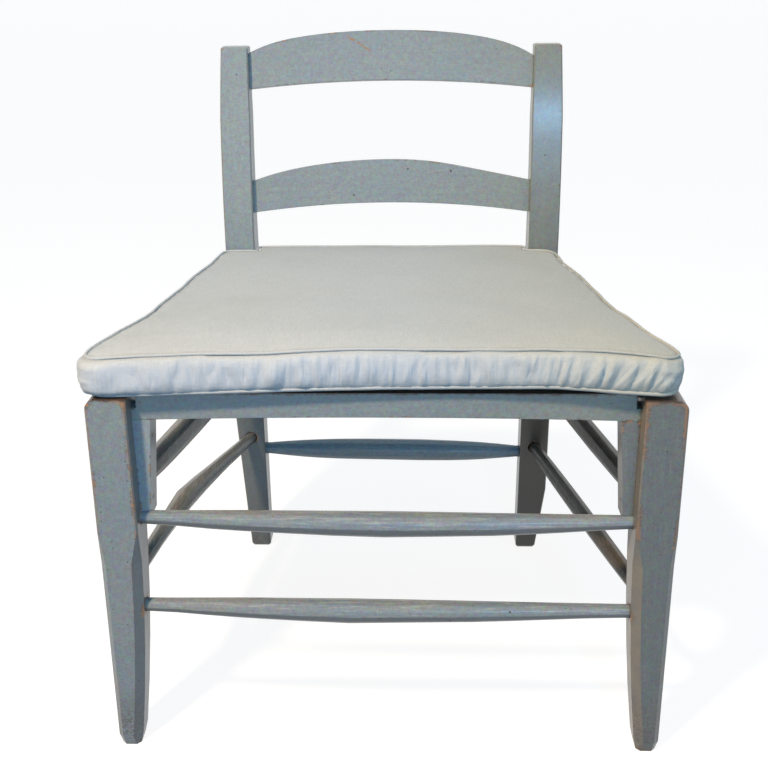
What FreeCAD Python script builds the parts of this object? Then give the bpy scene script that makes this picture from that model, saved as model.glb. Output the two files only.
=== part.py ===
import FreeCAD, Part
import math
import os

from FreeCAD import Placement, Rotation, Vector

# Low ladder-back side chair in painted wood, with a loose boxed cushion on a boarded seat.
# Millimetres. X points to the right of a person facing the chair, Y to the back, Z up.
# The origin is on the floor, under the middle of the chair's bounding box.

os.makedirs("parts", exist_ok=True)

# Front legs: square above the upper stretcher, tapered and chamfered below it
front_leg_spread = 528.0
front_leg_splay = 2.5
front_leg_width = 37.0
front_leg_depth = 36.8
front_leg_height = 373.4
front_leg_taper_height = 240.0
front_leg_belly_height = 110.0
front_leg_belly = 3.0
front_leg_shoulder_radius = 10.0
front_foot_width = 23.5
front_foot_depth = 28.0
front_foot_sole_width = 18.5
front_foot_sole_depth = 22.0
front_foot_bevel_height = 11.0
front_leg_inner_chamfer = 8.0
front_leg_outer_chamfer = 5.0
front_leg_chamfer_run = 32.0

# Rear posts: each is one sawn piece, foot to top, that leans back above the seat
rear_post_spread = 395.0
rear_post_setback = 382.7
rear_post_width = 35.0
rear_post_top_width = 31.0
rear_post_narrowing_length = 78.5
rear_post_height = 638.5
rear_post_seat_depth = 36.4
rear_post_top_depth = 24.0
rear_post_top_crown = 1.5
rear_post_lean = 35.5
rear_post_lean_rise = 26.6
rear_post_rake = 10.3
rear_post_rake_drop = 43.4
rear_foot_width = 24.5
rear_foot_depth = 28.0
rear_foot_taper_height_left = 190.0
rear_foot_taper_height_right = 88.0
rear_foot_bevel_height = 3.0
rear_foot_bevel = 1.5

# Worn arrises of the square stock
arris = 1.4

# Seat rails and the boards on them
rail_thickness = 19.0
front_rail_height = 26.4
front_rail_arch = 3.0
front_rail_notch_width = 4.5
front_rail_notch_height = 14.5
front_rail_tenon_shoulder = 1.5
rear_rail_height = 30.0
rear_rail_setback = 3.0
side_rail_height = 28.0
rail_tenon_length = 18.0
rail_tenon_thickness = 9.0
rail_tenon_shoulder = 4.0
seat_board_thickness = 12.0
seat_board_gap = 1.0
seat_board_overhang = 1.0
seat_board_count = 3

# Props that stand between the upper front stretcher and the front rail
rail_prop_top_width = 16.4
rail_prop_foot_width = 9.2
rail_prop_depth = 24.0

# Stretchers: shaved spindles, thickest in the middle, plugged into round mortises
upper_front_height = 248.3
upper_front_drop = 2.4
lower_front_height = 153.6
lower_front_drop = 3.0
rear_stretcher_height = 139.5
rear_stretcher_drop = 4.0
upper_side_below_seat_left = 110.4
upper_side_below_seat_right = 119.8
lower_side_height_left = 173.5
lower_side_height_right = 158.9
lower_side_drop_left = 12.5
lower_side_drop_right = 10.4
upper_front_end_radius = 6.5
upper_front_radius = 12.3
lower_front_end_radius = 7.0
lower_front_radius = 11.2
rear_stretcher_end_radius = 7.5
rear_stretcher_radius = 13.8
upper_side_end_radius = 8.0
upper_side_radius_left = 13.2
upper_side_radius_right = 10.5
lower_side_end_radius = 7.5
lower_side_radius_left = 13.0
lower_side_radius_right = 9.2
stretcher_tenon = 20.0
mortise_wall = 1.5
mortise_clearance = 0.15
stretcher_neck = 4.0

# How much of the swell is reached at each place along half a stretcher, end to middle
swell_station_shares = (0.0, 0.28, 0.55, 1.0)
swell_height_shares = (0.0, 0.62, 0.9, 1.0)
belly_share = 0.9

# Back slats: flat boards with arched edges, let into the posts
slat_thickness = 8.5
slat_face_setback = 10.0
slat_tenon = 17.0
slat_tenon_shoulder = 3.0
crest_drop = 47.0
crest_left_width = 40.5
crest_right_width = 35.5
crest_peak_rise = 65.0
crest_bottom_rise = 9.0
lower_slat_share = 0.291
lower_slat_end_width = 37.0
lower_slat_peak_rise = 61.5
lower_slat_bottom_rise = 11.5
slat_arch_width_shares = (1.0, 0.84, 0.62, 0.32, 0.0)
crest_rise_shares = (0.0, 0.43, 0.74, 0.94, 1.0)
lower_slat_left_rise_shares = (0.0, 0.34, 0.66, 0.91, 1.0)
lower_slat_right_rise_shares = (0.0, 0.22, 0.51, 0.87, 1.0)

# Nails in the seat boards and the props
nail_radius = 1.2
nail_head_radius = 3.0
nail_head_height = 0.9
board_nail_length = 30.0
prop_nail_length = 19.0
nail_clearance = 0.1
board_nail_inset = 24.0
prop_nail_inset = 18.0

# Boxed cushion: flat underneath, crowned on top, its sides drawn in between the corners
cushion_gap = 0.3
cushion_box_height = 34.0
cushion_crown = 7.0
cushion_side_bulge = 3.0
cushion_front_inset = 2.75
cushion_rear_inset = 4.75
cushion_front_setback = 5.0
cushion_shift = -4.25
cushion_front_dip = 8.0
cushion_front_dip_x = 66.0
cushion_side_dip = 10.0
cushion_dip_radius = 700.0
cushion_rear_setback = 398.0
cushion_post_gap = 0.8
cushion_front_corner_radius = 14.0
cushion_left_corner_radius = 10.0
cushion_right_corner_radius = 18.0
cushion_notch_radius = 5.0
cushion_tongue_corner_radius = 6.0
piping_radius = 2.5
piping_offset = 1.0
crown_ring_shares = (0.97, 0.86, 0.66, 0.4, 0.12)
crown_rise_shares = (0.22, 0.55, 0.83, 0.97, 1.0)

# Places that follow from the sizes above
overall_depth = rear_post_setback + rear_post_lean + rear_post_top_depth
front_y = -overall_depth / 2
post_y = front_y + rear_post_setback
seat_z = front_leg_height
upper_side_height_left = seat_z - upper_side_below_seat_left
upper_side_height_right = seat_z - upper_side_below_seat_right
rear_post_lean_height = seat_z + rear_post_lean_rise
rear_post_rake_height = seat_z - rear_post_rake_drop
rear_post_narrowing_height = rear_post_height - rear_post_narrowing_length
crest_low = rear_post_height - crest_drop
lower_slat_low = seat_z + (rear_post_height - seat_z) * lower_slat_share
cushion_front_half_width = front_leg_spread / 2 - cushion_front_inset
cushion_rear_half_width = rear_post_spread / 2 - cushion_rear_inset
front_leg_x = (front_leg_spread - front_leg_width) / 2
rear_post_x = (rear_post_spread - rear_post_width) / 2
front_leg_back_y = front_y + front_leg_depth
front_rail_y = front_leg_back_y - rail_thickness
rear_rail_y = post_y + rear_rail_setback
cutter_overrun = front_leg_depth


def arc_offset(reach, rise, total_reach):
    """Sideways offset at a reach along an arc that leaves its start square and rises by rise in all."""
    radius = (total_reach ** 2 + rise ** 2) / (2 * rise)
    return radius - math.sqrt(radius ** 2 - reach ** 2)


def box(x0, x1, y0, y1, z0, z1):
    """Box between two corners."""
    return Part.makeBox(x1 - x0, y1 - y0, z1 - z0, Vector(x0, y0, z0))


def mirrored(shape):
    """Copy of a shape on the other side of the chair's middle plane."""
    return shape.mirror(Vector(0, 0, 0), Vector(1, 0, 0))


def section(x0, x1, y0, y1, z, corner):
    """Closed section of a bar at height z; corner holds the chamfers at x0y0, x1y0, x1y1 and x0y1."""
    a, b, c, d = corner
    points = [
        (x0, y0 + a), (x0 + a, y0), (x1 - b, y0), (x1, y0 + b),
        (x1, y1 - c), (x1 - c, y1), (x0 + d, y1), (x0, y1 - d),
    ]
    ring = [Vector(x, y, z) for x, y in points]
    return Part.makePolygon(ring + ring[:1])


# Front legs


def front_leg_outer(z):
    """X of a right front leg's outer face at height z."""
    return front_leg_spread / 2 + front_leg_splay * (1 - z / front_leg_height)


def front_leg_inner(z):
    """X of a right front leg's inner face at height z: upright, then tapering with a slight belly."""
    top = front_leg_spread / 2 - front_leg_width
    if z >= front_leg_taper_height:
        return top
    foot = front_leg_outer(0) - front_foot_width
    fall = front_leg_taper_height - front_foot_bevel_height
    share = min((front_leg_taper_height - z) / fall, 1.0)
    belly_at = (front_leg_taper_height - front_leg_belly_height) / fall
    bow = front_leg_belly * share * (1 - share) / (belly_at * (1 - belly_at))
    return top + (foot - top) * share - bow


def front_leg_back(z):
    """Y of a front leg's rear face at height z."""
    if z >= front_leg_taper_height:
        return front_leg_back_y
    fall = front_leg_taper_height - front_foot_bevel_height
    share = min((front_leg_taper_height - z) / fall, 1.0)
    return front_leg_back_y - (front_leg_depth - front_foot_depth) * share


def front_leg_section(z, chamfer_share):
    """Section of the right front leg at height z; its front corners are chamfered by a share."""
    outer = max(front_leg_outer_chamfer * chamfer_share, arris)
    inner = max(front_leg_inner_chamfer * chamfer_share, arris)
    return section(front_leg_inner(z), front_leg_outer(z), front_y, front_leg_back(z), z,
                   (inner, outer, arris, arris))


def make_front_leg():
    """Right front leg without its mortises."""
    chamfer_foot = front_leg_taper_height - front_leg_chamfer_run
    shaft = Part.makeLoft([front_leg_section(front_leg_height, 0),
                           front_leg_section(front_leg_taper_height, 0)], True, True)
    stop = Part.makeLoft([front_leg_section(front_leg_taper_height, 0),
                          front_leg_section(chamfer_foot, 1)], True, True)
    lower_heights = (chamfer_foot, (chamfer_foot + front_leg_belly_height) / 2, front_leg_belly_height,
                     (front_leg_belly_height + front_foot_bevel_height) / 2, front_foot_bevel_height)
    lower = Part.makeLoft([front_leg_section(z, 1) for z in lower_heights], True, True)
    top = front_leg_section(front_foot_bevel_height, 1)
    x = (front_leg_inner(front_foot_bevel_height) + front_leg_outer(front_foot_bevel_height)) / 2
    y = (front_y + front_leg_back(front_foot_bevel_height)) / 2
    half_width = front_foot_sole_width / 2
    half_depth = front_foot_sole_depth / 2
    sole_corner = front_leg_outer_chamfer * front_foot_sole_width / front_foot_width
    corners = (sole_corner, sole_corner, arris, arris)
    sole = section(x - half_width, x + half_width, y - half_depth, y + half_depth, 0, corners)
    foot = Part.makeLoft([top, sole], True, True)
    leg = shaft.fuse([stop, lower, foot]).removeSplitter()
    return leg.cut(shoulder_cutter())


def shoulder_cutter():
    """Cutter that rounds the outer top corner of the right front leg."""
    radius = front_leg_shoulder_radius
    x = front_leg_outer(front_leg_height) - radius
    z = front_leg_height - radius
    y0 = front_y - cutter_overrun
    y1 = front_leg_back_y + cutter_overrun
    corner = box(x, x + radius + cutter_overrun, y0, y1, z, z + radius + cutter_overrun)
    round_stock = Part.makeCylinder(radius, y1 - y0, Vector(x, y0, z), Vector(0, 1, 0))
    return corner.cut(round_stock)


# Rear posts


def post_front(z):
    """Y of a rear post's front face at height z."""
    if z > rear_post_lean_height:
        rise = rear_post_height - rear_post_lean_height
        return post_y + arc_offset(z - rear_post_lean_height, rear_post_lean, rise)
    if z < rear_post_rake_height:
        return post_y + arc_offset(rear_post_rake_height - z, rear_post_rake, rear_post_rake_height)
    return post_y


def post_depth(z):
    """Depth of a rear post, front to back, at height z."""
    if z > rear_post_lean_height:
        share = (z - rear_post_lean_height) / (rear_post_height - rear_post_lean_height)
        return rear_post_seat_depth + (rear_post_top_depth - rear_post_seat_depth) * share
    if z < rear_post_rake_height:
        share = (rear_post_rake_height - z) / rear_post_rake_height
        return rear_post_seat_depth + (rear_foot_depth - rear_post_seat_depth) * share
    return rear_post_seat_depth


def post_outer(z, taper_height):
    """X of a right rear post's outer face at height z, with a foot that tapers from a given height."""
    half = rear_post_spread / 2
    if z > rear_post_narrowing_height:
        share = (z - rear_post_narrowing_height) / (rear_post_height - rear_post_narrowing_height)
        return half - (rear_post_width - rear_post_top_width) / 2 * share
    if z < taper_height:
        share = (taper_height - z) / taper_height
        return half - (rear_post_width - rear_foot_width) * share
    return half


def post_inner(z):
    """X of a right rear post's inner face at height z."""
    inner = rear_post_spread / 2 - rear_post_width
    if z > rear_post_narrowing_height:
        share = (z - rear_post_narrowing_height) / (rear_post_height - rear_post_narrowing_height)
        return inner + (rear_post_width - rear_post_top_width) / 2 * share
    return inner


def post_section(z, taper_height):
    """Section of the right rear post at height z."""
    return section(post_inner(z), post_outer(z, taper_height), post_front(z),
                   post_front(z) + post_depth(z), z, (arris, arris, arris, arris))


def make_rear_post(taper_height):
    """Right rear post without its mortises; its foot tapers from a given height."""

    def stretch(low, high, count, ruled):
        """Stretch of the post between two heights, lofted through evenly spaced sections."""
        heights = [low + (high - low) * i / count for i in range(count + 1)]
        return Part.makeLoft([post_section(z, taper_height) for z in heights], True, ruled)

    crown_z = rear_post_height - rear_post_top_crown
    foot = stretch(rear_foot_bevel_height, taper_height, 3, True)
    calf = stretch(taper_height, rear_post_rake_height, 4, False)
    waist = stretch(rear_post_rake_height, rear_post_lean_height, 1, True)
    back = stretch(rear_post_lean_height, rear_post_narrowing_height, 4, False)
    head = stretch(rear_post_narrowing_height, crown_z, 3, False)
    y0 = post_front(0) + rear_foot_bevel
    y1 = post_front(0) + rear_foot_depth - rear_foot_bevel
    sole = section(post_inner(0) + rear_foot_bevel, post_outer(0, taper_height) - rear_foot_bevel,
                   y0, y1, 0, (arris, arris, arris, arris))
    bevel = Part.makeLoft([post_section(rear_foot_bevel_height, taper_height), sole], True, True)
    top_arris = arris + rear_post_top_crown
    eased = section(post_inner(crown_z) + rear_post_top_crown,
                    post_outer(crown_z, taper_height) - rear_post_top_crown,
                    post_front(crown_z) + rear_post_top_crown,
                    post_front(crown_z) + post_depth(crown_z) - rear_post_top_crown, rear_post_height,
                    (top_arris, top_arris, top_arris, top_arris))
    crown = Part.makeLoft([post_section(crown_z, taper_height), eased], True, True)
    return foot.fuse([calf, waist, back, head, bevel, crown]).removeSplitter()


# Stretchers


front_cross_y = front_y + front_leg_depth / 2
rear_cross_y = post_front(rear_stretcher_height) + post_depth(rear_stretcher_height) / 2


def turned(start, end, neck, end_radius, radius, belly):
    """Spindle between two points: straight for a neck at each end, then swelling to the middle."""
    axis = end - start
    length = axis.Length
    along = axis / length
    half = length / 2 - neck
    stations = [(neck + half * a, b) for a, b in zip(swell_station_shares, swell_height_shares)]
    stations += [(length - s, b) for s, b in reversed(stations[:-1])]
    rings = []
    for distance, share in stations:
        ring_radius = end_radius + (radius - end_radius) * share
        drop = belly * (radius - end_radius) * share
        centre = start + along * distance - Vector(0, 0, drop)
        rings.append(Part.Wire(Part.makeCircle(ring_radius, centre, along)))
    body = Part.makeLoft(rings, True, False)
    near = Part.makeCylinder(end_radius, neck, start, along)
    far = Part.makeCylinder(end_radius, neck, end - along * neck, along)
    return body.fuse([near, far])


def socket(start, along, depth, radius):
    """Round mortise for a spindle's end, with its mouth well clear of the wood."""
    mouth = start - along * cutter_overrun
    length = cutter_overrun + depth + mortise_wall
    return Part.makeCylinder(radius + mortise_clearance, length, mouth, along)


def cross_stretcher(y, left_z, right_z, inner_x, end_radius, radius, belly):
    """Stretcher between two legs of one pair, and its mortise cutters for the left and right leg."""
    reach = inner_x + stretcher_tenon
    start = Vector(-reach, y, left_z)
    end = Vector(reach, y, right_z)
    along = (end - start) / (end - start).Length
    body = turned(start, end, stretcher_tenon + stretcher_neck, end_radius, radius, belly)
    left = socket(start + along * stretcher_tenon, along * -1, stretcher_tenon, end_radius)
    right = socket(end - along * stretcher_tenon, along, stretcher_tenon, end_radius)
    return body, left, right


def side_stretcher(side, front_z, rear_z, end_radius, radius, front_cross_radius, rear_cross_radius):
    """Side stretcher on one side (-1 left, 1 right), with its cutters for the front leg and the post.

    Its tenons end short of the cross stretchers that meet them in the wood.
    """
    leg_face = Vector(side * front_leg_x, front_leg_back(front_z), front_z)
    post_face = Vector(side * rear_post_x, post_front(rear_z), rear_z)
    along = (post_face - leg_face) / (post_face - leg_face).Length
    front_tenon = leg_face.y - front_cross_y - front_cross_radius - mortise_wall
    rear_tenon = rear_cross_y - post_face.y - rear_cross_radius - mortise_wall
    start = leg_face - along * (front_tenon / along.y)
    end = post_face + along * (rear_tenon / along.y)
    neck = front_tenon + stretcher_neck
    body = turned(start, end, neck, end_radius, radius, 0)
    return body, side_socket(leg_face, along * -1, front_tenon, end_radius), \
        side_socket(post_face, along, rear_tenon, end_radius)


def side_socket(face, along, depth, radius):
    """Round mortise of a side stretcher, cut from its mouth on the wood's face."""
    mouth = face - along * cutter_overrun
    length = cutter_overrun + depth / abs(along.y) + mortise_clearance
    return Part.makeCylinder(radius + mortise_clearance, length, mouth, along)


# Seat rails


def front_rail_shape():
    """Front rail with an arched lower edge, notched top corners and a tenon at each end."""
    inner = front_leg_inner(seat_z)
    low = seat_z - front_rail_height
    points = [Vector(-inner, front_rail_y, low), Vector(0, front_rail_y, low + front_rail_arch),
              Vector(inner, front_rail_y, low)]
    edges = [Part.Arc(*points).toShape(),
             Part.makeLine(points[2], Vector(inner, front_rail_y, seat_z)),
             Part.makeLine(Vector(inner, front_rail_y, seat_z), Vector(-inner, front_rail_y, seat_z)),
             Part.makeLine(Vector(-inner, front_rail_y, seat_z), points[0])]
    rail = Part.Face(Part.Wire(edges)).extrude(Vector(0, rail_thickness, 0))
    notch_z = seat_z - front_rail_notch_height
    notch_top = seat_z + cutter_overrun
    y0 = front_rail_y - cutter_overrun
    y1 = front_rail_y + rail_thickness + cutter_overrun
    for side in (-1, 1):
        edge = side * inner
        cut = side * (inner - front_rail_notch_width)
        rail = rail.cut(box(min(edge, cut), max(edge, cut), y0, y1, notch_z, notch_top))
    return rail.fuse([front_rail_tenon(side, rail_tenon_length) for side in (-1, 1)])


def rail_tenon(side, inner, y, low, high, length):
    """Tenon of a rail that runs along X, on one side, from its shoulder out into the leg."""
    y0 = y + (rail_thickness - rail_tenon_thickness) / 2
    x0 = side * inner
    x1 = side * (inner + length)
    return box(min(x0, x1), max(x0, x1), y0, y0 + rail_tenon_thickness, low, high)


def front_rail_tenon(side, length):
    """Tenon of the front rail on one side, under the notch of its corner."""
    low = seat_z - front_rail_height + front_rail_tenon_shoulder
    high = seat_z - front_rail_notch_height
    return rail_tenon(side, front_leg_inner(seat_z), front_rail_y, low, high, length)


def rear_rail_tenon(side, length):
    """Tenon of the rear rail on one side."""
    low = seat_z - rear_rail_height + rail_tenon_shoulder
    high = seat_z - rail_tenon_shoulder
    return rail_tenon(side, post_inner(seat_z), rear_rail_y, low, high, length)


def rear_rail_shape():
    """Rear rail between the posts, with a tenon at each end."""
    inner = post_inner(seat_z)
    low = seat_z - rear_rail_height
    rail = box(-inner, inner, rear_rail_y, rear_rail_y + rail_thickness, low, seat_z)
    return rail.fuse([rear_rail_tenon(side, rail_tenon_length) for side in (-1, 1)])


side_rail_top = seat_z - seat_board_thickness
side_rail_low = side_rail_top - side_rail_height
side_rail_run = Vector(rear_post_x - front_leg_x, post_y - front_leg_back_y, 0)


def side_rail_x(y):
    """X of a right side rail's centre line at depth y."""
    return front_leg_x + side_rail_run.x * (y - front_leg_back_y) / side_rail_run.y


def slanted_bar(y0, y1, half_width, z0, z1):
    """Bar that follows the right side rail's centre line between two depths."""
    corners = [(side_rail_x(y0) - half_width, y0), (side_rail_x(y0) + half_width, y0),
               (side_rail_x(y1) + half_width, y1), (side_rail_x(y1) - half_width, y1)]
    ring = [Vector(x, y, z0) for x, y in corners]
    return Part.Face(Part.makePolygon(ring + ring[:1])).extrude(Vector(0, 0, z1 - z0))


def side_rail_tenon_front():
    """Front tenon of the right side rail, kept clear of the front rail's mortise."""
    mortise_back = front_rail_y + (rail_thickness + rail_tenon_thickness) / 2
    return slanted_bar(mortise_back + mortise_wall, front_leg_back_y, rail_tenon_thickness / 2,
                       side_rail_low + rail_tenon_shoulder, side_rail_top - rail_tenon_shoulder)


def side_rail_tenon_rear():
    """Rear tenon of the right side rail, kept clear of the rear rail's mortise."""
    length = rear_rail_setback + (rail_thickness - rail_tenon_thickness) / 2 - mortise_wall
    return slanted_bar(post_y, post_y + length, rail_tenon_thickness / 2,
                       side_rail_low + rail_tenon_shoulder, side_rail_top - rail_tenon_shoulder)


def side_rail_shape():
    """Right side rail with its two short tenons."""
    rail = slanted_bar(front_leg_back_y, post_y, rail_thickness / 2, side_rail_low, side_rail_top)
    return rail.fuse([side_rail_tenon_front(), side_rail_tenon_rear()])


# Seat boards


boards_front = front_leg_back_y + seat_board_gap
boards_rear = post_y - seat_board_gap
board_pitch = (boards_rear - boards_front + seat_board_gap) / seat_board_count


def board_edge_x(y):
    """X of the right end of the seat boards at depth y."""
    return side_rail_x(y) + rail_thickness / 2 + seat_board_overhang


def seat_board(index):
    """Seat board that lies across the side rails; index counts from the front."""
    y0 = boards_front + board_pitch * index
    y1 = y0 + board_pitch - seat_board_gap
    corners = [(-board_edge_x(y0), y0), (board_edge_x(y0), y0),
               (board_edge_x(y1), y1), (-board_edge_x(y1), y1)]
    ring = [Vector(x, y, side_rail_top) for x, y in corners]
    return Part.Face(Part.makePolygon(ring + ring[:1])).extrude(Vector(0, 0, seat_board_thickness))


def nail(head, along, length, clearance):
    """Nail driven along a direction from the middle of its head's flat top."""
    shank = Part.makeCylinder(nail_radius + clearance, length + clearance, head, along)
    cap = Part.makeCylinder(nail_head_radius + clearance, nail_head_height, head, along)
    return shank.fuse(cap)


def board_nail_places():
    """Places of the nails' heads on the seat boards, as points on the boards' top."""
    places = []
    for index in range(seat_board_count):
        y0 = boards_front + board_pitch * index
        y1 = y0 + board_pitch - seat_board_gap
        for y in (y0 + board_nail_inset, y1 - board_nail_inset):
            for side in (-1, 1):
                places.append(Vector(side * side_rail_x(y), y, seat_z))
    return places


# Props under the front rail


def prop_low():
    """Height of a prop's foot, which is cut to sit over the upper front stretcher's end."""
    return upper_front_height


def make_prop():
    """Right prop: its outer side lies on the leg and its inner side slants in towards the foot."""
    high = seat_z - front_rail_height
    low = prop_low()
    outer = front_leg_inner(high)
    corners = [(outer - rail_prop_foot_width, low), (outer, low),
               (outer, high), (outer - rail_prop_top_width, high)]
    ring = [Vector(x, front_rail_y, z) for x, z in corners]
    return Part.Face(Part.makePolygon(ring + ring[:1])).extrude(Vector(0, rail_prop_depth, 0))


def prop_nail_places():
    """Places of the nails' heads on the inner sides of the right prop."""
    places = []
    low = prop_low()
    high = seat_z - front_rail_height
    for z in (low + prop_nail_inset, high - prop_nail_inset):
        share = (z - low) / (high - low)
        width = rail_prop_foot_width + (rail_prop_top_width - rail_prop_foot_width) * share
        places.append(Vector(front_leg_inner(high) - width, (front_rail_y + front_leg_back_y) / 2, z))
    return places


# Back slats


def slat_frame(z):
    """Placement of a slat whose middle is at height z: on the posts' centre, leaning with them."""
    run = z - rear_post_lean_height
    rise = rear_post_height - rear_post_lean_height
    radius = (rise ** 2 + rear_post_lean ** 2) / (2 * rear_post_lean)
    tilt = math.degrees(math.asin(run / radius))
    return Placement(Vector(0, post_front(z) + slat_face_setback, z), Rotation(Vector(1, 0, 0), -tilt))


def slat_arch(half, end_top, peak, rise_shares):
    """Points of half a slat's top edge, from its end at half the width to the peak."""
    return [Vector(half * a, 0, end_top + (peak - end_top) * b)
            for a, b in zip(slat_arch_width_shares, rise_shares)]


def back_slat(low_z, bottom_rise, left_width, right_width, peak_rise, left_shares, right_shares):
    """Back slat in place, with a tenon at each end; its lower corners are at height low_z."""
    low = -(left_width + right_width) / 4
    middle = low_z - low
    half = post_inner(middle)
    tops = {-1: low + left_width, 1: low + right_width}
    right = slat_arch(half, tops[1], low + peak_rise, right_shares)
    left = slat_arch(-half, tops[-1], low + peak_rise, left_shares)
    top_curve = Part.BSplineCurve()
    top_curve.interpolate(right + left[-2::-1])
    low_curve = Part.Arc(Vector(-half, 0, low), Vector(0, 0, low + bottom_rise), Vector(half, 0, low))
    edges = [low_curve.toShape(), Part.makeLine(Vector(half, 0, low), right[0]),
             top_curve.toShape(), Part.makeLine(left[0], Vector(-half, 0, low))]
    board = Part.Face(Part.Wire(edges)).extrude(Vector(0, slat_thickness, 0))
    tenons = []
    for side, top in tops.items():
        near, far = side * half, side * (half + slat_tenon)
        tenons.append(box(min(near, far), max(near, far), 0, slat_thickness,
                          low + slat_tenon_shoulder, top - slat_tenon_shoulder))
    slat = board.fuse(tenons)
    slat.Placement = slat_frame(middle)
    return slat


# Cushion


def side_dip(front_corner, rear_corner, side):
    """Corner in the middle of one of the cushion's sides, drawn in between its two ends."""
    return (front_corner + rear_corner) * 0.5 - Vector(side * cushion_side_dip, 0, 0)


def corner_points(z):
    """Corners of the cushion's outline from the front left, anticlockwise, each with its radius."""
    front = front_y + cushion_front_setback
    clearance = piping_radius + piping_offset + cushion_post_gap
    notch_y = post_y - clearance
    rear = front_y + cushion_rear_setback
    tongue = post_inner(seat_z) - clearance
    front_left, front_right = (Vector(cushion_shift + side * cushion_front_half_width, front, z)
                               for side in (-1, 1))
    rear_left, rear_right = (Vector(cushion_shift + side * cushion_rear_half_width, notch_y, z)
                             for side in (-1, 1))
    return [
        (front_left, cushion_front_corner_radius),
        (Vector(cushion_front_dip_x, front + cushion_front_dip, z), cushion_dip_radius),
        (front_right, cushion_front_corner_radius),
        (side_dip(front_right, rear_right, 1), cushion_dip_radius),
        (rear_right, cushion_right_corner_radius),
        (Vector(tongue, notch_y, z), cushion_notch_radius),
        (Vector(tongue, rear, z), cushion_tongue_corner_radius),
        (Vector(-tongue, rear, z), cushion_tongue_corner_radius),
        (Vector(-tongue, notch_y, z), cushion_notch_radius),
        (rear_left, cushion_left_corner_radius),
        (side_dip(front_left, rear_left, -1), cushion_dip_radius),
    ]


def rounded_outline(corners):
    """Closed outline of straight sides, joined at each corner by an arc that is tangent to both."""
    count = len(corners)
    arcs = []
    for i, (point, radius) in enumerate(corners):
        back = (corners[i - 1][0] - point).normalize()
        ahead = (corners[(i + 1) % count][0] - point).normalize()
        half_angle = back.getAngle(ahead) / 2
        reach = radius / math.tan(half_angle)
        bisector = (back + ahead).normalize()
        middle = point + bisector * (radius / math.sin(half_angle) - radius)
        arcs.append(Part.Arc(point + back * reach, middle, point + ahead * reach))
    edges = []
    for i, arc in enumerate(arcs):
        edges.append(arc.toShape())
        edges.append(Part.makeLine(arc.EndPoint, arcs[(i + 1) % count].StartPoint))
    return edges


def cushion_ring(z, share):
    """The cushion's outline at height z, scaled by a share about the cushion's middle."""
    middle_y = front_y + (cushion_front_setback + cushion_rear_setback) / 2
    centre = Vector(cushion_shift, middle_y, z)
    corners = [(centre + (point - centre) * share, radius * share) for point, radius in corner_points(z)]
    return Part.Wire(rounded_outline(corners))


cushion_low = seat_z + cushion_gap
cushion_top = cushion_low + cushion_box_height
bulge_share = 1 + cushion_side_bulge / cushion_front_half_width
piping_share = 1 + piping_offset / cushion_front_half_width


def make_cushion():
    """Cushion: a boxed lower part with bulging sides, and a crowned top that fades in from the edge."""
    middle = (cushion_low + cushion_top) / 2
    sides = Part.makeLoft([cushion_ring(cushion_low, 1), cushion_ring(middle, bulge_share),
                           cushion_ring(cushion_top, 1)], True, False)
    rings = [cushion_ring(cushion_top, 1)]
    rings += [cushion_ring(cushion_top + cushion_crown * rise, share)
              for share, rise in zip(crown_ring_shares, crown_rise_shares)]
    crown = Part.makeLoft(rings, True, True)
    return sides.fuse(crown)


def make_piping(z):
    """Piping cord that runs once around the cushion's edge at height z."""
    path = cushion_ring(z, piping_share)
    first = path.Edges[0]
    start = first.valueAt(first.FirstParameter)
    along = first.tangentAt(first.FirstParameter)
    ring = Part.Wire(Part.makeCircle(piping_radius, start, along))
    return path.makePipeShell([ring], True, False)


# Assembly


def save(name, shape):
    """Write one node and say what it holds."""
    solids = Part.makeCompound(shape.Solids) if len(shape.Solids) > 1 else shape.Solids[0]
    print(f"{name}: {len(shape.Solids)} solid(s), {shape.Volume:.0f} mm3, valid {shape.isValid()}")
    solids.exportStep(f"parts/{name}.step")


upper_front, upper_left_cut, upper_right_cut = cross_stretcher(
    front_cross_y, upper_front_height, upper_front_height - upper_front_drop,
    front_leg_inner(upper_front_height), upper_front_end_radius, upper_front_radius, belly_share)
lower_front, lower_left_cut, lower_right_cut = cross_stretcher(
    front_cross_y, lower_front_height, lower_front_height - lower_front_drop,
    front_leg_inner(lower_front_height), lower_front_end_radius, lower_front_radius, belly_share)
rear, rear_left_cut, rear_right_cut = cross_stretcher(
    rear_cross_y, rear_stretcher_height, rear_stretcher_height - rear_stretcher_drop,
    post_inner(rear_stretcher_height), rear_stretcher_end_radius, rear_stretcher_radius, 0)

front_rail = front_rail_shape()
rear_rail = rear_rail_shape()
side_rail = side_rail_shape()
crest = back_slat(
    crest_low, crest_bottom_rise, crest_left_width, crest_right_width, crest_peak_rise,
    crest_rise_shares, crest_rise_shares)
lower_slat = back_slat(
    lower_slat_low, lower_slat_bottom_rise, lower_slat_end_width, lower_slat_end_width,
    lower_slat_peak_rise, lower_slat_left_rise_shares, lower_slat_right_rise_shares)
prop = make_prop()
front_leg = make_front_leg().cut([front_rail_tenon(1, rail_tenon_length + mortise_wall),
                                  side_rail_tenon_front()])
rear_left, rear_right = (
    make_rear_post(height).cut([rear_rail_tenon(1, rail_tenon_length + mortise_wall),
                                side_rail_tenon_rear()])
    for height in (rear_foot_taper_height_left, rear_foot_taper_height_right))

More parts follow.
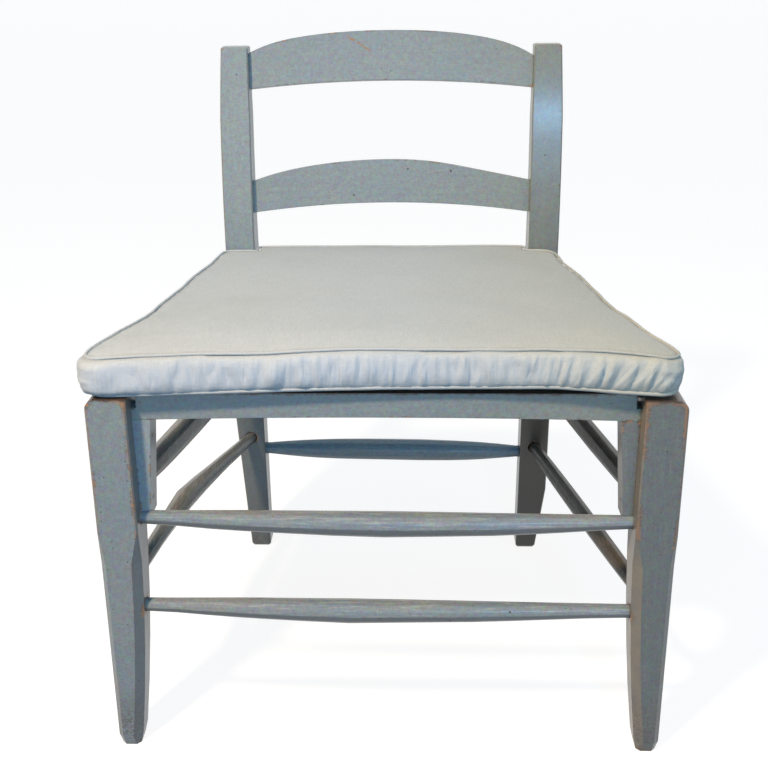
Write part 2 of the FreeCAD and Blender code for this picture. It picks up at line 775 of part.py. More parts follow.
prop_nails = []
board_nails = [nail(place, Vector(0, 0, -1), board_nail_length, 0) for place in board_nail_places()]
board_cutters = [nail(place, Vector(0, 0, -1), board_nail_length, nail_clearance)
                 for place in board_nail_places()]
sides = (("left", -1, upper_side_height_left, upper_side_radius_left, lower_side_height_left,
          lower_side_drop_left, lower_side_radius_left, (upper_left_cut, lower_left_cut), rear_left_cut),
         ("right", 1, upper_side_height_right, upper_side_radius_right, lower_side_height_right,
          lower_side_drop_right, lower_side_radius_right, (upper_right_cut, lower_right_cut),
          rear_right_cut))
for name, side, upper_z, upper_radius, lower_z, lower_drop, lower_radius, front_cuts, rear_cut in sides:
    upper, upper_leg_cut, upper_post_cut = side_stretcher(
        side, upper_z, upper_z, upper_side_end_radius, upper_radius,
        upper_front_end_radius, rear_stretcher_end_radius)
    lower, lower_leg_cut, lower_post_cut = side_stretcher(
        side, lower_z, lower_z - lower_drop, lower_side_end_radius, lower_radius,
        lower_front_end_radius, rear_stretcher_end_radius)
    save(f"upper_side_stretcher_{name}", upper)
    save(f"lower_side_stretcher_{name}", lower)
    own_leg, own_post, own_rail, own_prop = (
        (front_leg, rear_right, side_rail, prop) if side > 0
        else (mirrored(front_leg), mirrored(rear_left), mirrored(side_rail), mirrored(prop)))
    heads = [Vector(side * p.x, p.y, p.z) for p in prop_nail_places()]
    outwards = Vector(side, 0, 0)
    cutters = [nail(head, outwards, prop_nail_length, nail_clearance) for head in heads]
    prop_nails += [nail(head, outwards, prop_nail_length, 0) for head in heads]
    save(f"front_leg_{name}", own_leg.cut([*front_cuts, upper_leg_cut, lower_leg_cut, *cutters]))
    save(f"rear_post_{name}", own_post.cut([rear_cut, upper_post_cut, lower_post_cut, crest, lower_slat]))
    save(f"side_seat_rail_{name}", own_rail.cut(board_cutters))
    save(f"rail_prop_{name}", own_prop.cut(cutters + [upper_front]))

save("front_seat_rail", front_rail)
save("rear_seat_rail", rear_rail)
save("upper_front_stretcher", upper_front)
save("lower_front_stretcher", lower_front)
save("rear_stretcher", rear)
save("crest_slat", crest)
save("lower_back_slat", lower_slat)
for index, name in enumerate(("front", "middle", "rear")):
    save(f"seat_board_{name}", seat_board(index).cut(board_cutters))
save("seat_board_nails", Part.makeCompound(board_nails))
save("rail_prop_nails", Part.makeCompound(prop_nails))
save("seat_cushion", make_cushion())
save("cushion_top_piping", make_piping(cushion_top))
save("cushion_bottom_piping", make_piping(cushion_low + piping_radius))
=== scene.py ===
"""Low ladder-back side chair in worn grey-blue paint, with a loose piped box cushion.

The solid frame is loaded first. The square stock keeps its solids and is painted, the spindles
are shaved anew with their facets, and the cushion is sewn, filled and piped.
"""
import logging
import math
from dataclasses import dataclass, field
from enum import Enum
from typing import Iterable, Optional, Sequence, Union

import bpy
import numpy as np
from mathutils import Matrix, Vector, noise


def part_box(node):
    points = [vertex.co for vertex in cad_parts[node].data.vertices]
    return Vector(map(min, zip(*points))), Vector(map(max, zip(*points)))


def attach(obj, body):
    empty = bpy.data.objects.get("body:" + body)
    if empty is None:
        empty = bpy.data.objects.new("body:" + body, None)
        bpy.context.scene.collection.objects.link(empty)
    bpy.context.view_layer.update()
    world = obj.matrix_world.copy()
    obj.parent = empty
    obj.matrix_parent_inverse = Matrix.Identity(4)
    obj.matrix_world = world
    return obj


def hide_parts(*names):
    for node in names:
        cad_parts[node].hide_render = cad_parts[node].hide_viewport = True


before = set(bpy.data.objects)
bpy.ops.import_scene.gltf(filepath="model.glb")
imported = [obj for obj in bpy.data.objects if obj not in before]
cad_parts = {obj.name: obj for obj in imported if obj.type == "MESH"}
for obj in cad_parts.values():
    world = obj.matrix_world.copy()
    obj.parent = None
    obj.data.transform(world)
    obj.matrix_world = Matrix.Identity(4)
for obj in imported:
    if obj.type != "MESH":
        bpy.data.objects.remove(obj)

Colour = tuple[float, float, float]
Point = tuple[float, float, float]
Socket = bpy.types.NodeSocket
Node = bpy.types.Node
Piece = bpy.types.Object
Material = bpy.types.Material
Value = Union[float, Colour, Socket]
Table = tuple[Sequence[float], Sequence[float]]

log = logging.getLogger("chair")


class Grain(Enum):
    """Direction in which the wood of a piece runs."""

    UPRIGHT = (70.0, 70.0, 5.0)
    CROSSWISE = (5.0, 70.0, 70.0)
    BACKWARD = (70.0, 5.0, 70.0)


class Body(Enum):
    """Rigid body that a piece rides on."""

    FRAME = "frame"
    CUSHION = "cushion"


# Shader wiring


class Wiring:
    """Adds and joins nodes in one shader tree."""

    def __init__(self, tree: bpy.types.NodeTree) -> None:
        """Keeps the tree.

        Args:
            tree: Node tree of a material, a world or a group.
        """
        self.tree = tree

    def put(self, socket: Socket, value: Value) -> None:
        """Links or sets one input.

        Args:
            socket: Input to fill.
            value: Output to link, or a plain number, colour or vector.
        """
        if isinstance(value, Socket):
            self.tree.links.new(value, socket)
        elif socket.type == "RGBA" and len(value) == 3:
            socket.default_value = (*value, 1.0)
        else:
            socket.default_value = value

    def node(self, kind: str, inputs: Optional[dict] = None, **settings: object) -> Node:
        """Adds a node.

        Args:
            kind: Node type name.
            inputs: Values or outputs for its inputs, by name or index.
            **settings: Properties of the node itself.

        Returns:
            The new node.
        """
        made = self.tree.nodes.new(kind)
        for name, value in settings.items():
            setattr(made, name, value)
        self.feed(made, inputs or {})
        return made

    def feed(self, node: Node, inputs: dict) -> None:
        """Links or sets several inputs of a node, by name or index."""
        for key, value in inputs.items():
            self.put(node.inputs[key], value)

    def maths(self, operation: str, a: Value, b: Value = 0.0, clamp: bool = False) -> Socket:
        """One step of arithmetic.

        Args:
            operation: Name of the operation.
            a: First value.
            b: Second value.
            clamp: Whether the result is kept between 0 and 1.

        Returns:
            The result.
        """
        return self.node("ShaderNodeMath", {0: a, 1: b}, operation=operation, use_clamp=clamp).outputs[0]

    def times(self, a: Value, b: Value, clamp: bool = False) -> Socket:
        """Product of two values, kept between 0 and 1 if asked."""
        return self.maths("MULTIPLY", a, b, clamp)

    def plus(self, a: Value, b: Value, clamp: bool = False) -> Socket:
        """Sum of two values, kept between 0 and 1 if asked."""
        return self.maths("ADD", a, b, clamp)

    def minus(self, a: Value, b: Value) -> Socket:
        """First value less the second."""
        return self.maths("SUBTRACT", a, b)

    def coordinates(self) -> Socket:
        """Object coordinates of the piece."""
        return self.node("ShaderNodeTexCoord").outputs["Object"]

    def axis(self, vector: Value, index: int) -> Socket:
        """One component of a vector: 0, 1 or 2."""
        return self.node("ShaderNodeSeparateXYZ", {0: vector}).outputs[index]

    def seen(self) -> Socket:
        """1 for rays from the camera and for their reflections, 0 for the light's own rays."""
        path = self.node("ShaderNodeLightPath")
        seen = self.maths("MAXIMUM", path.outputs["Is Camera Ray"], path.outputs["Is Glossy Ray"])
        return self.maths("MAXIMUM", seen, path.outputs["Is Transmission Ray"])

    def ramp(self, factor: Value, low: float, high: float,
             to_low: float = 0.0, to_high: float = 1.0) -> Socket:
        """Maps a stretch of values smoothly to another stretch.

        Args:
            factor: Value to map.
            low: Value that gives to_low.
            high: Value that gives to_high.
            to_low: Result at low.
            to_high: Result at high.

        Returns:
            The mapped value.
        """
        made = self.node("ShaderNodeMapRange", {0: factor, 1: low, 2: high, 3: to_low, 4: to_high},
                         interpolation_type="SMOOTHSTEP")
        return made.outputs[0]

    def blend(self, factor: Value, a: Value, b: Value, mode: str = "MIX") -> Socket:
        """Blends two colours.

        Args:
            factor: Share of the second colour.
            a: First colour.
            b: Second colour.
            mode: Blend type.

        Returns:
            The blended colour.
        """
        made = self.node("ShaderNodeMix", data_type="RGBA", blend_type=mode, clamp_factor=True)
        self.put(made.inputs[0], factor)
        self.put(made.inputs[6], a)
        self.put(made.inputs[7], b)
        return made.outputs[2]

    def grains(self, vector: Value, scale: float, detail: float = 3.0, roughness: float = 0.55,
               distortion: float = 0.0) -> Socket:
        """Soft noise.

        Args:
            vector: Place to read.
            scale: Cells in a metre.
            detail: Octaves.
            roughness: Weight of the finer octaves.
            distortion: How far the pattern is pushed about.

        Returns:
            Noise around 0.5.
        """
        made = self.node("ShaderNodeTexNoise", {"Vector": vector, "Scale": scale, "Detail": detail,
                                                "Roughness": roughness, "Distortion": distortion})
        return made.outputs[0]

    def stretched(self, vector: Value, scale: Point, place: Point = (0.0, 0.0, 0.0)) -> Socket:
        """Coordinates stretched by a scale along each axis.

        Args:
            vector: Coordinates.
            scale: Scale along X, Y and Z.
            place: Shift that is added.

        Returns:
            The stretched coordinates.
        """
        return self.node("ShaderNodeMapping", {"Vector": vector, "Location": place, "Scale": scale}).outputs[0]


class ShaderGroup:
    """A node group that several materials share; made once, placed with its own values in each."""

    name = "group"
    takes: Sequence[tuple[str, str, object]] = ()
    gives: Sequence[tuple[str, str]] = ()
    _made: dict[str, bpy.types.NodeTree] = {}

    def fill(self, wiring: Wiring, inlet: Node, outlet: Node) -> None:
        """Wires the inside of the group.

        Args:
            wiring: Wiring of the group's tree.
            inlet: The group's input node.
            outlet: The group's output node.
        """
        raise NotImplementedError

    def tree(self) -> bpy.types.NodeTree:
        """The group's tree, built the first time it is asked for.

        Returns:
            The node tree.
        """
        if self.name not in self._made:
            tree = bpy.data.node_groups.new(self.name, "ShaderNodeTree")
            for label, kind, default in self.takes:
                socket = tree.interface.new_socket(name=label, in_out="INPUT", socket_type=kind)
                if default is not None:
                    socket.default_value = default
            for label, kind in self.gives:
                tree.interface.new_socket(name=label, in_out="OUTPUT", socket_type=kind)
            inlet = tree.nodes.new("NodeGroupInput")
            outlet = tree.nodes.new("NodeGroupOutput")
            self.fill(Wiring(tree), inlet, outlet)
            self._made[self.name] = tree
        return self._made[self.name]

    def place(self, wiring: Wiring, values: dict[str, Value]) -> Node:
        """Puts the group into a material.

        Args:
            wiring: Wiring of the material.
            values: Values for the group's inputs.

        Returns:
            The group node.
        """
        return wiring.node("ShaderNodeGroup", values, node_tree=self.tree())


class ArrisWear(ShaderGroup):
    """Where paint has gone from the sharp edges, and the normal that rounds them."""

    name = "arris_wear"
    takes = (("Vector", "NodeSocketVector", None), ("Radius", "NodeSocketFloat", 0.005),
             ("Amount", "NodeSocketFloat", 0.5))
    gives = (("Wear", "NodeSocketFloat"), ("Rim", "NodeSocketFloat"), ("Normal", "NodeSocketVector"))
    rounding = 0.0010

    def fill(self, wiring: Wiring, inlet: Node, outlet: Node) -> None:
        """Finds the edges by how thin the wood is under them; see the base class for the arguments."""
        soft = wiring.node("ShaderNodeBevel", {"Radius": self.rounding}, samples=4).outputs[0]
        under = wiring.node("ShaderNodeAmbientOcclusion", {"Distance": inlet.outputs["Radius"]}, samples=8,
                            inside=True, only_local=True).outputs["AO"]
        edge = wiring.ramp(under, 0.97, 0.60)
        place = inlet.outputs["Vector"]
        patches, chips = wiring.grains(place, 26.0, 3.0, 0.6), wiring.grains(place, 190.0, 4.0, 0.65)
        spread = wiring.plus(wiring.times(patches, 2.4), wiring.times(chips, 1.5))
        held = wiring.minus(3.4, inlet.outputs["Amount"])
        bare = wiring.minus(wiring.plus(spread, edge), held)
        near = wiring.ramp(edge, 0.02, 0.25)
        wiring.feed(outlet, {"Wear": wiring.times(wiring.ramp(bare, 0.0, 0.10), near, True),
                             "Rim": wiring.times(wiring.ramp(bare, -0.16, 0.0), near, True), "Normal": soft})


class PinHoles(ShaderGroup):
    """Small round holes and dings, scattered thinly."""

    name = "pin_holes"
    takes = (("Vector", "NodeSocketVector", None), ("Scale", "NodeSocketFloat", 70.0),
             ("Size", "NodeSocketFloat", 0.05), ("Share", "NodeSocketFloat", 0.2))
    gives = (("Hole", "NodeSocketFloat"),)

    def fill(self, wiring: Wiring, inlet: Node, outlet: Node) -> None:
        """Keeps a share of the cells and marks their centres; see the base class for the arguments."""
        cells = wiring.node("ShaderNodeTexVoronoi", {"Vector": inlet.outputs["Vector"],
                                                     "Scale": inlet.outputs["Scale"]})
        pick = wiring.node("ShaderNodeSeparateColor", {0: cells.outputs["Color"]})
        chosen = wiring.maths("LESS_THAN", pick.outputs[0], inlet.outputs["Share"])
        size = wiring.times(inlet.outputs["Size"], wiring.plus(pick.outputs[1], 0.35))
        inside = wiring.minus(size, cells.outputs["Distance"])
        spot = wiring.maths("DIVIDE", inside, wiring.times(size, 0.5), True)
        wiring.put(outlet.inputs["Hole"], wiring.times(spot, chosen))


class Scratch(ShaderGroup):
    """One long, ragged scratch across the front of the crest slat."""

    name = "scratch"
    takes = (("Vector", "NodeSocketVector", None),)
    gives = (("Mark", "NodeSocketFloat"),)
    start = (-0.0520, 0.0, 0.6495)
    end = (-0.0215, 0.0, 0.6320)

    def fill(self, wiring: Wiring, inlet: Node, outlet: Node) -> None:
        """Marks what lies close to the line between two points; see the base class for the arguments."""
        run = Vector(self.end) - Vector(self.start)
        line = run.normalized()
        place = inlet.outputs["Vector"]
        offset = wiring.node("ShaderNodeVectorMath", {0: place, 1: self.start}, operation="SUBTRACT").outputs[0]
        flat = wiring.node("ShaderNodeVectorMath", {0: offset, 1: (1.0, 0.0, 1.0)}, operation="MULTIPLY").outputs[0]
        along, across = (wiring.node("ShaderNodeVectorMath", {0: flat, 1: way}, operation="DOT_PRODUCT")
                         .outputs["Value"] for way in (tuple(line), (-line.z, 0.0, line.x)))
        wobble = wiring.times(wiring.minus(wiring.grains(place, 150.0), 0.5), 0.0035)
        away = wiring.maths("ABSOLUTE", wiring.plus(across, wobble))
        inside = wiring.times(wiring.ramp(along, 0.0, 0.003), wiring.ramp(along, run.length, run.length - 0.003))
        broken = wiring.ramp(wiring.grains(place, 240.0), 0.36, 0.5)
        fine = wiring.times(wiring.ramp(away, 0.0013, 0.0006), inside)
        wiring.put(outlet.inputs["Mark"], wiring.times(fine, broken))


class BrushedPaint(ShaderGroup):
    """Height and tone of long-worn brushed paint over wood whose grain shows through a little."""

    name = "brushed_paint"
    takes = (("Vector", "NodeSocketVector", None), ("Along", "NodeSocketVector", None))
    gives = (("Height", "NodeSocketFloat"), ("Cloud", "NodeSocketFloat"), ("Speck", "NodeSocketFloat"),
             ("Streak", "NodeSocketFloat"), ("Tint", "NodeSocketColor"))

    def fill(self, wiring: Wiring, inlet: Node, outlet: Node) -> None:
        """Mixes brush marks, grain and fine grit; see the base class for the arguments."""
        place, along = inlet.outputs["Vector"], inlet.outputs["Along"]
        strokes = wiring.grains(along, 2.6, 3.0, 0.6, 0.3)
        grit, dents = wiring.grains(place, 950.0, 2.0, 0.7), wiring.grains(place, 60.0, 2.0, 0.5)
        height = wiring.plus(wiring.times(strokes, 0.5), wiring.times(grit, 0.22))
        cloud = wiring.plus(wiring.times(wiring.grains(place, 9.0), 0.6), wiring.times(strokes, 0.4))
        tint = wiring.node("ShaderNodeTexNoise", {"Vector": place, "Scale": 210.0, "Detail": 4.0,
                                                  "Roughness": 0.75})
        wiring.feed(outlet, {"Height": wiring.plus(height, wiring.times(dents, 0.55)),
                             "Cloud": wiring.ramp(cloud, 0.32, 0.68),
                             "Speck": wiring.ramp(wiring.grains(place, 420.0, 3.0, 0.7), 0.35, 0.7),
                             "Streak": wiring.ramp(wiring.grains(along, 6.5, 4.0, 0.7), 0.48, 0.72),
                             "Tint": tint.outputs[1]})


class PlainWeave(ShaderGroup):
    """Over-and-under threads of a cotton cloth, with slubs."""

    name = "plain_weave"
    takes = (("Vector", "NodeSocketVector", None), ("Threads", "NodeSocketFloat", 1300.0))
    gives = (("Height", "NodeSocketFloat"), ("Slub", "NodeSocketFloat"))

    def fill(self, wiring: Wiring, inlet: Node, outlet: Node) -> None:
        """Crosses two sets of threads in the cloth's own plane; see the base class for the arguments."""
        place = inlet.outputs["Vector"]
        turns = wiring.times(inlet.outputs["Threads"], math.pi)
        warp, weft = (wiring.maths("SINE", wiring.times(wiring.axis(place, k), turns)) for k in (0, 1))
        across, down = (wiring.grains(wiring.stretched(place, scale), 60.0, 3.0, 0.7)
                        for scale in ((1.0, 14.0, 1.0), (14.0, 1.0, 1.0)))
        both = wiring.times(wiring.plus(across, down), 0.5)
        wiring.feed(outlet, {"Height": wiring.plus(wiring.times(wiring.times(warp, weft), 0.5), 0.5),
                             "Slub": wiring.ramp(both, 0.36, 0.64)})


# Finishes


def new_material(name: str) -> tuple[Material, Wiring, Node]:
    """Empty material with its Principled shader.

    Args:
        name: Name of the finish.

    Returns:
        The material, its wiring and its shader node.
    """
    material = bpy.data.materials.new(name)
    material.use_nodes = True
    wiring = Wiring(material.node_tree)
    shader = next(n for n in material.node_tree.nodes if n.type == "BSDF_PRINCIPLED")
    return material, wiring, shader


@dataclass(frozen=True)
class WornPaint:
    """Satin grey-blue paint on wood, worn to the wood at its arrises, with painted shade and light where its fields
    ask for them.

    Attributes:
        name: Name of the finish.
        grain: Direction of the wood.
        paint: Colour of the paint.
        faded: Colour of the paint where it has faded.
        wear: How much of the arrises is bare.
        rub: Width over which an arris is rubbed.
        holes: Share of the cells that hold a pin hole.
        streaks: How strongly the grain shows through as pale streaks.
        grime_and_shade_top: Whether the upper faces at seat height are dark bare wood, darkened further as painted
            shade under the cushion.
        grime_low: Whether the part near the floor is scuffed and dirty.
        shaded: Share of painted shade, a near-black brown, on the part under the seat.
        scratch: Whether a long scratch crosses the piece.
        left_face_wear_and_shading: Share of brown on the faces that look left: partly where hands have rubbed the
            paint thin, partly painted light and shade as it falls on those faces.
        warm_light_right: How strongly the paint is tinted warmer towards the chair's right, as painted warm light.
        underside_shade: Share of painted shade on the faces that look down.
        right_face_shade: Share of painted shade on the faces that look right.
        gloss: Weight of the clear coat.
    """

    name: str
    grain: Grain
    paint: Colour = (0.258, 0.308, 0.322)
    faded: Colour = (0.300, 0.334, 0.322)
    wear: float = 0.3
    rub: float = 0.0050
    holes: float = 0.3
    streaks: float = 0.10
    grime_and_shade_top: bool = False
    grime_low: bool = False
    shaded: float = 0.0
    scratch: bool = False
    left_face_wear_and_shading: float = 0.0
    warm_light_right: float = 0.0
    underside_shade: float = 0.0
    right_face_shade: float = 0.0
    gloss: float = 0.35

    bare: Colour = (0.34, 0.190, 0.100)
    # Dark colour of dirt, scuffs and hole edges; at seat height it is also painted shade.
    stain_and_shade: Colour = (0.070, 0.048, 0.034)
    brown: Colour = (0.290, 0.225, 0.150)
    warm_light_tint: Colour = (0.98, 0.88, 0.68)
    seat_height: float = 0.3734

    def coat(self, wiring: Wiring, place: Socket, brushed: Node) -> Socket:
        """Colour of the paint, clouded, streaked and tinted, with the painted shade and light that the fields ask
        for.

        Args:
            wiring: Wiring of the material.
            place: Coordinates of the piece.
            brushed: The group of brush marks.

        Returns:
            The colour.
        """
        colour = wiring.blend(brushed.outputs["Cloud"], self.paint, self.faded)
        speck = wiring.times(brushed.outputs["Speck"], 0.46)
        colour = wiring.blend(speck, colour, tuple(0.55 * c for c in self.paint))
        streak = wiring.times(brushed.outputs["Streak"], self.streaks)
        colour = wiring.blend(streak, colour, (0.47, 0.46, 0.40))
        colour = wiring.blend(0.50, colour, brushed.outputs["Tint"], "OVERLAY")
        looks = wiring.node("ShaderNodeSeparateXYZ", {
            0: wiring.node("ShaderNodeNewGeometry").outputs["True Normal"]})
        # Painted shade: faces that look down, and faces that look right, are darkened towards a dark copy of the
        # paint.
        for side, bright, dark, share in ((2, 0.35, -0.45, self.underside_shade), (0, 0.35, 0.75, self.right_face_shade)):
            if share:
                dim = wiring.times(wiring.ramp(looks.outputs[side], bright, dark), share)
                colour = wiring.blend(dim, colour, tuple(0.30 * c for c in self.paint))
        # Brown on the faces that look left: partly paint rubbed thin by hands, partly painted light and shade.
        if self.left_face_wear_and_shading:
            thin = wiring.times(wiring.ramp(looks.outputs[0], -0.35, -0.65),
                                wiring.ramp(wiring.grains(place, 24.0, 4.0, 0.6), 0.30, 0.55, 0.45, 1.0))
            colour = wiring.blend(wiring.times(thin, self.left_face_wear_and_shading), colour, self.brown)
        # Painted light: the paint is tinted warmer towards the chair's right.
        if self.warm_light_right:
            warm_light_share = wiring.times(wiring.ramp(wiring.axis(place, 0), -0.04, 0.20), self.warm_light_right)
            colour = wiring.blend(warm_light_share, colour, self.warm_light_tint, "MULTIPLY")
        # Painted shade: the part under the seat is darkened towards a near-black brown.
        if self.shaded:
            dim = wiring.times(wiring.ramp(wiring.axis(place, 2), 0.40, 0.34), self.shaded)
            colour = wiring.blend(dim, colour, (0.050, 0.044, 0.031))
        return colour

    def grime(self, wiring: Wiring, place: Socket, colour: Socket) -> Socket:
        """Adds the dark wood and painted shade at seat height, the scuffs at the foot and the scratch.

        Args:
            wiring: Wiring of the material.
            place: Coordinates of the piece.
            colour: Colour so far.

        Returns:
            The colour with the grime.
        """
        height = wiring.axis(place, 2)
        # Dark bare wood with painted shade from the cushion, on upper faces and on a ragged band at seat height.
        if self.grime_and_shade_top:
            up = wiring.axis(wiring.node("ShaderNodeNewGeometry").outputs["Normal"], 2)
            facing = wiring.ramp(up, 0.35, 0.7)
            level = wiring.ramp(height, self.seat_height - 0.013, self.seat_height - 0.009)
            ragged = wiring.plus(height, wiring.times(wiring.grains(place, 120.0), 0.006))
            lip = wiring.ramp(ragged, self.seat_height + 0.0005, self.seat_height + 0.003)
            dark = wiring.maths("MAXIMUM", wiring.times(facing, level), lip)
            colour = wiring.blend(dark, colour, self.stain_and_shade)
        if self.grime_low:
            low = wiring.ramp(height, 0.085, 0.006)
            cracks = wiring.grains(wiring.stretched(place, (90.0, 90.0, 260.0)), 3.0, 5.0, 0.7)
            blots = wiring.ramp(wiring.grains(place, 45.0, 4.0, 0.65), 0.40, 0.62)
            spread = wiring.plus(wiring.ramp(cracks, 0.44, 0.62), wiring.times(blots, 0.5))
            scuffs = wiring.times(low, spread, True)
            colour = wiring.blend(wiring.times(scuffs, 0.7), colour, self.stain_and_shade)
        if self.scratch:
            mark = Scratch().place(wiring, {"Vector": place})
            colour = wiring.blend(mark.outputs[0], colour, self.bare)
        return colour

    def build(self) -> Material:
        """Makes the material.

        Returns:
            The finished material.
        """
        material, wiring, shader = new_material(self.name)
        place = wiring.coordinates()
        along = wiring.stretched(place, self.grain.value)
        brushed = BrushedPaint().place(wiring, {"Vector": place, "Along": along})
        colour = self.coat(wiring, place, brushed)
        worn = ArrisWear().place(wiring, {"Vector": place, "Radius": self.rub, "Amount": self.wear})
        colour = wiring.blend(wiring.times(worn.outputs["Rim"], 0.8), colour, self.stain_and_shade)
        wood = wiring.blend(wiring.grains(along, 5.0, 4.0, 0.6), self.bare, tuple(1.35 * c for c in self.bare))
        colour = wiring.blend(worn.outputs["Wear"], colour, wood)
        colour = self.grime(wiring, place, colour)
        large, small = (PinHoles().place(wiring, {"Vector": place, "Scale": scale, "Size": size,
                                                  "Share": often * self.holes}).outputs[0]
                        for scale, size, often in ((62.0, 0.072, 1.3), (150.0, 0.095, 1.0)))
        holes = wiring.maths("MAXIMUM", large, small)
        colour = wiring.blend(wiring.times(holes, 0.9), colour, tuple(0.55 * c for c in self.stain_and_shade))
        roughness = wiring.plus(wiring.times(brushed.outputs["Cloud"], 0.10), 0.38)
        height = wiring.minus(brushed.outputs["Height"], wiring.times(holes, 1.5))
        height = wiring.minus(height, wiring.times(worn.outputs["Wear"], 0.45))
        bump = wiring.node("ShaderNodeBump", {"Strength": 0.6, "Distance": 0.0010, "Height": height,
                                              "Normal": worn.outputs["Normal"]})
        wiring.feed(shader, {"Base Color": colour, "Normal": bump.outputs[0], "Coat Weight": self.gloss,
                             "Roughness": wiring.plus(roughness, wiring.times(worn.outputs["Wear"], 0.3)),
                             "Coat Roughness": 0.20})
        return material


@dataclass(frozen=True)
class BareWood:
    """Unpainted softwood under the cushion, darkened by the years.

    Attributes:
        name: Name of the finish.
        grain: Direction of the wood.
        pale: Colour of the early wood.
        dark: Colour of the late wood.
    """

    name: str
    grain: Grain
    pale: Colour = (0.36, 0.25, 0.155)
    dark: Colour = (0.185, 0.115, 0.065)

    def build(self) -> Material:
        """Makes the material.

        Returns:
            The finished material.
        """
        material, wiring, shader = new_material(self.name)
        place = wiring.coordinates()
        along = wiring.stretched(place, self.grain.value)
        rings = wiring.node("ShaderNodeTexWave", {"Vector": along, "Scale": 0.55, "Distortion": 5.0, "Detail": 3.0,
                                                  "Detail Scale": 0.6}, bands_direction="DIAGONAL").outputs[1]
        fibre = wiring.grains(along, 9.0, 5.0, 0.65)
        tone = wiring.plus(wiring.times(rings, 0.6), wiring.times(fibre, 0.4))
        colour = wiring.blend(wiring.ramp(tone, 0.2, 0.85), self.dark, self.pale)
        grime = wiring.ramp(wiring.grains(place, 16.0, 4.0, 0.6), 0.5, 0.8)
        bump = wiring.node("ShaderNodeBump", {"Strength": 0.5, "Distance": 0.0006, "Height": tone})
        wiring.feed(shader, {"Base Color": wiring.blend(wiring.times(grime, 0.5), colour, (0.07, 0.05, 0.035)),
                             "Roughness": wiring.plus(wiring.times(fibre, 0.2), 0.6),
                             "Normal": bump.outputs[0]})
        return material


@dataclass(frozen=True)
class DullSteel:
    """Dark steel of long-used nails.

    Attributes:
        name: Name of the finish.
        steel: Colour of the metal.
        rust: Colour of the rust on it.
    """

    name: str = "dull_steel"
    steel: Colour = (0.14, 0.13, 0.125)
    rust: Colour = (0.16, 0.07, 0.035)

    def build(self) -> Material:
        """Makes the material.

        Returns:
            The finished material.
        """
        material, wiring, shader = new_material(self.name)
        place = wiring.coordinates()
        patches = wiring.ramp(wiring.grains(place, 700.0, 4.0, 0.6), 0.42, 0.62)
        bump = wiring.node("ShaderNodeBump", {"Strength": 0.4, "Distance": 0.0003,
                                              "Height": wiring.grains(place, 1500.0)})
        wiring.feed(shader, {"Base Color": wiring.blend(patches, self.steel, self.rust),
                             "Metallic": wiring.minus(0.9, wiring.times(patches, 0.7)),
                             "Roughness": wiring.plus(wiring.times(patches, 0.35), 0.45),
                             "Normal": bump.outputs[0]})
        return material


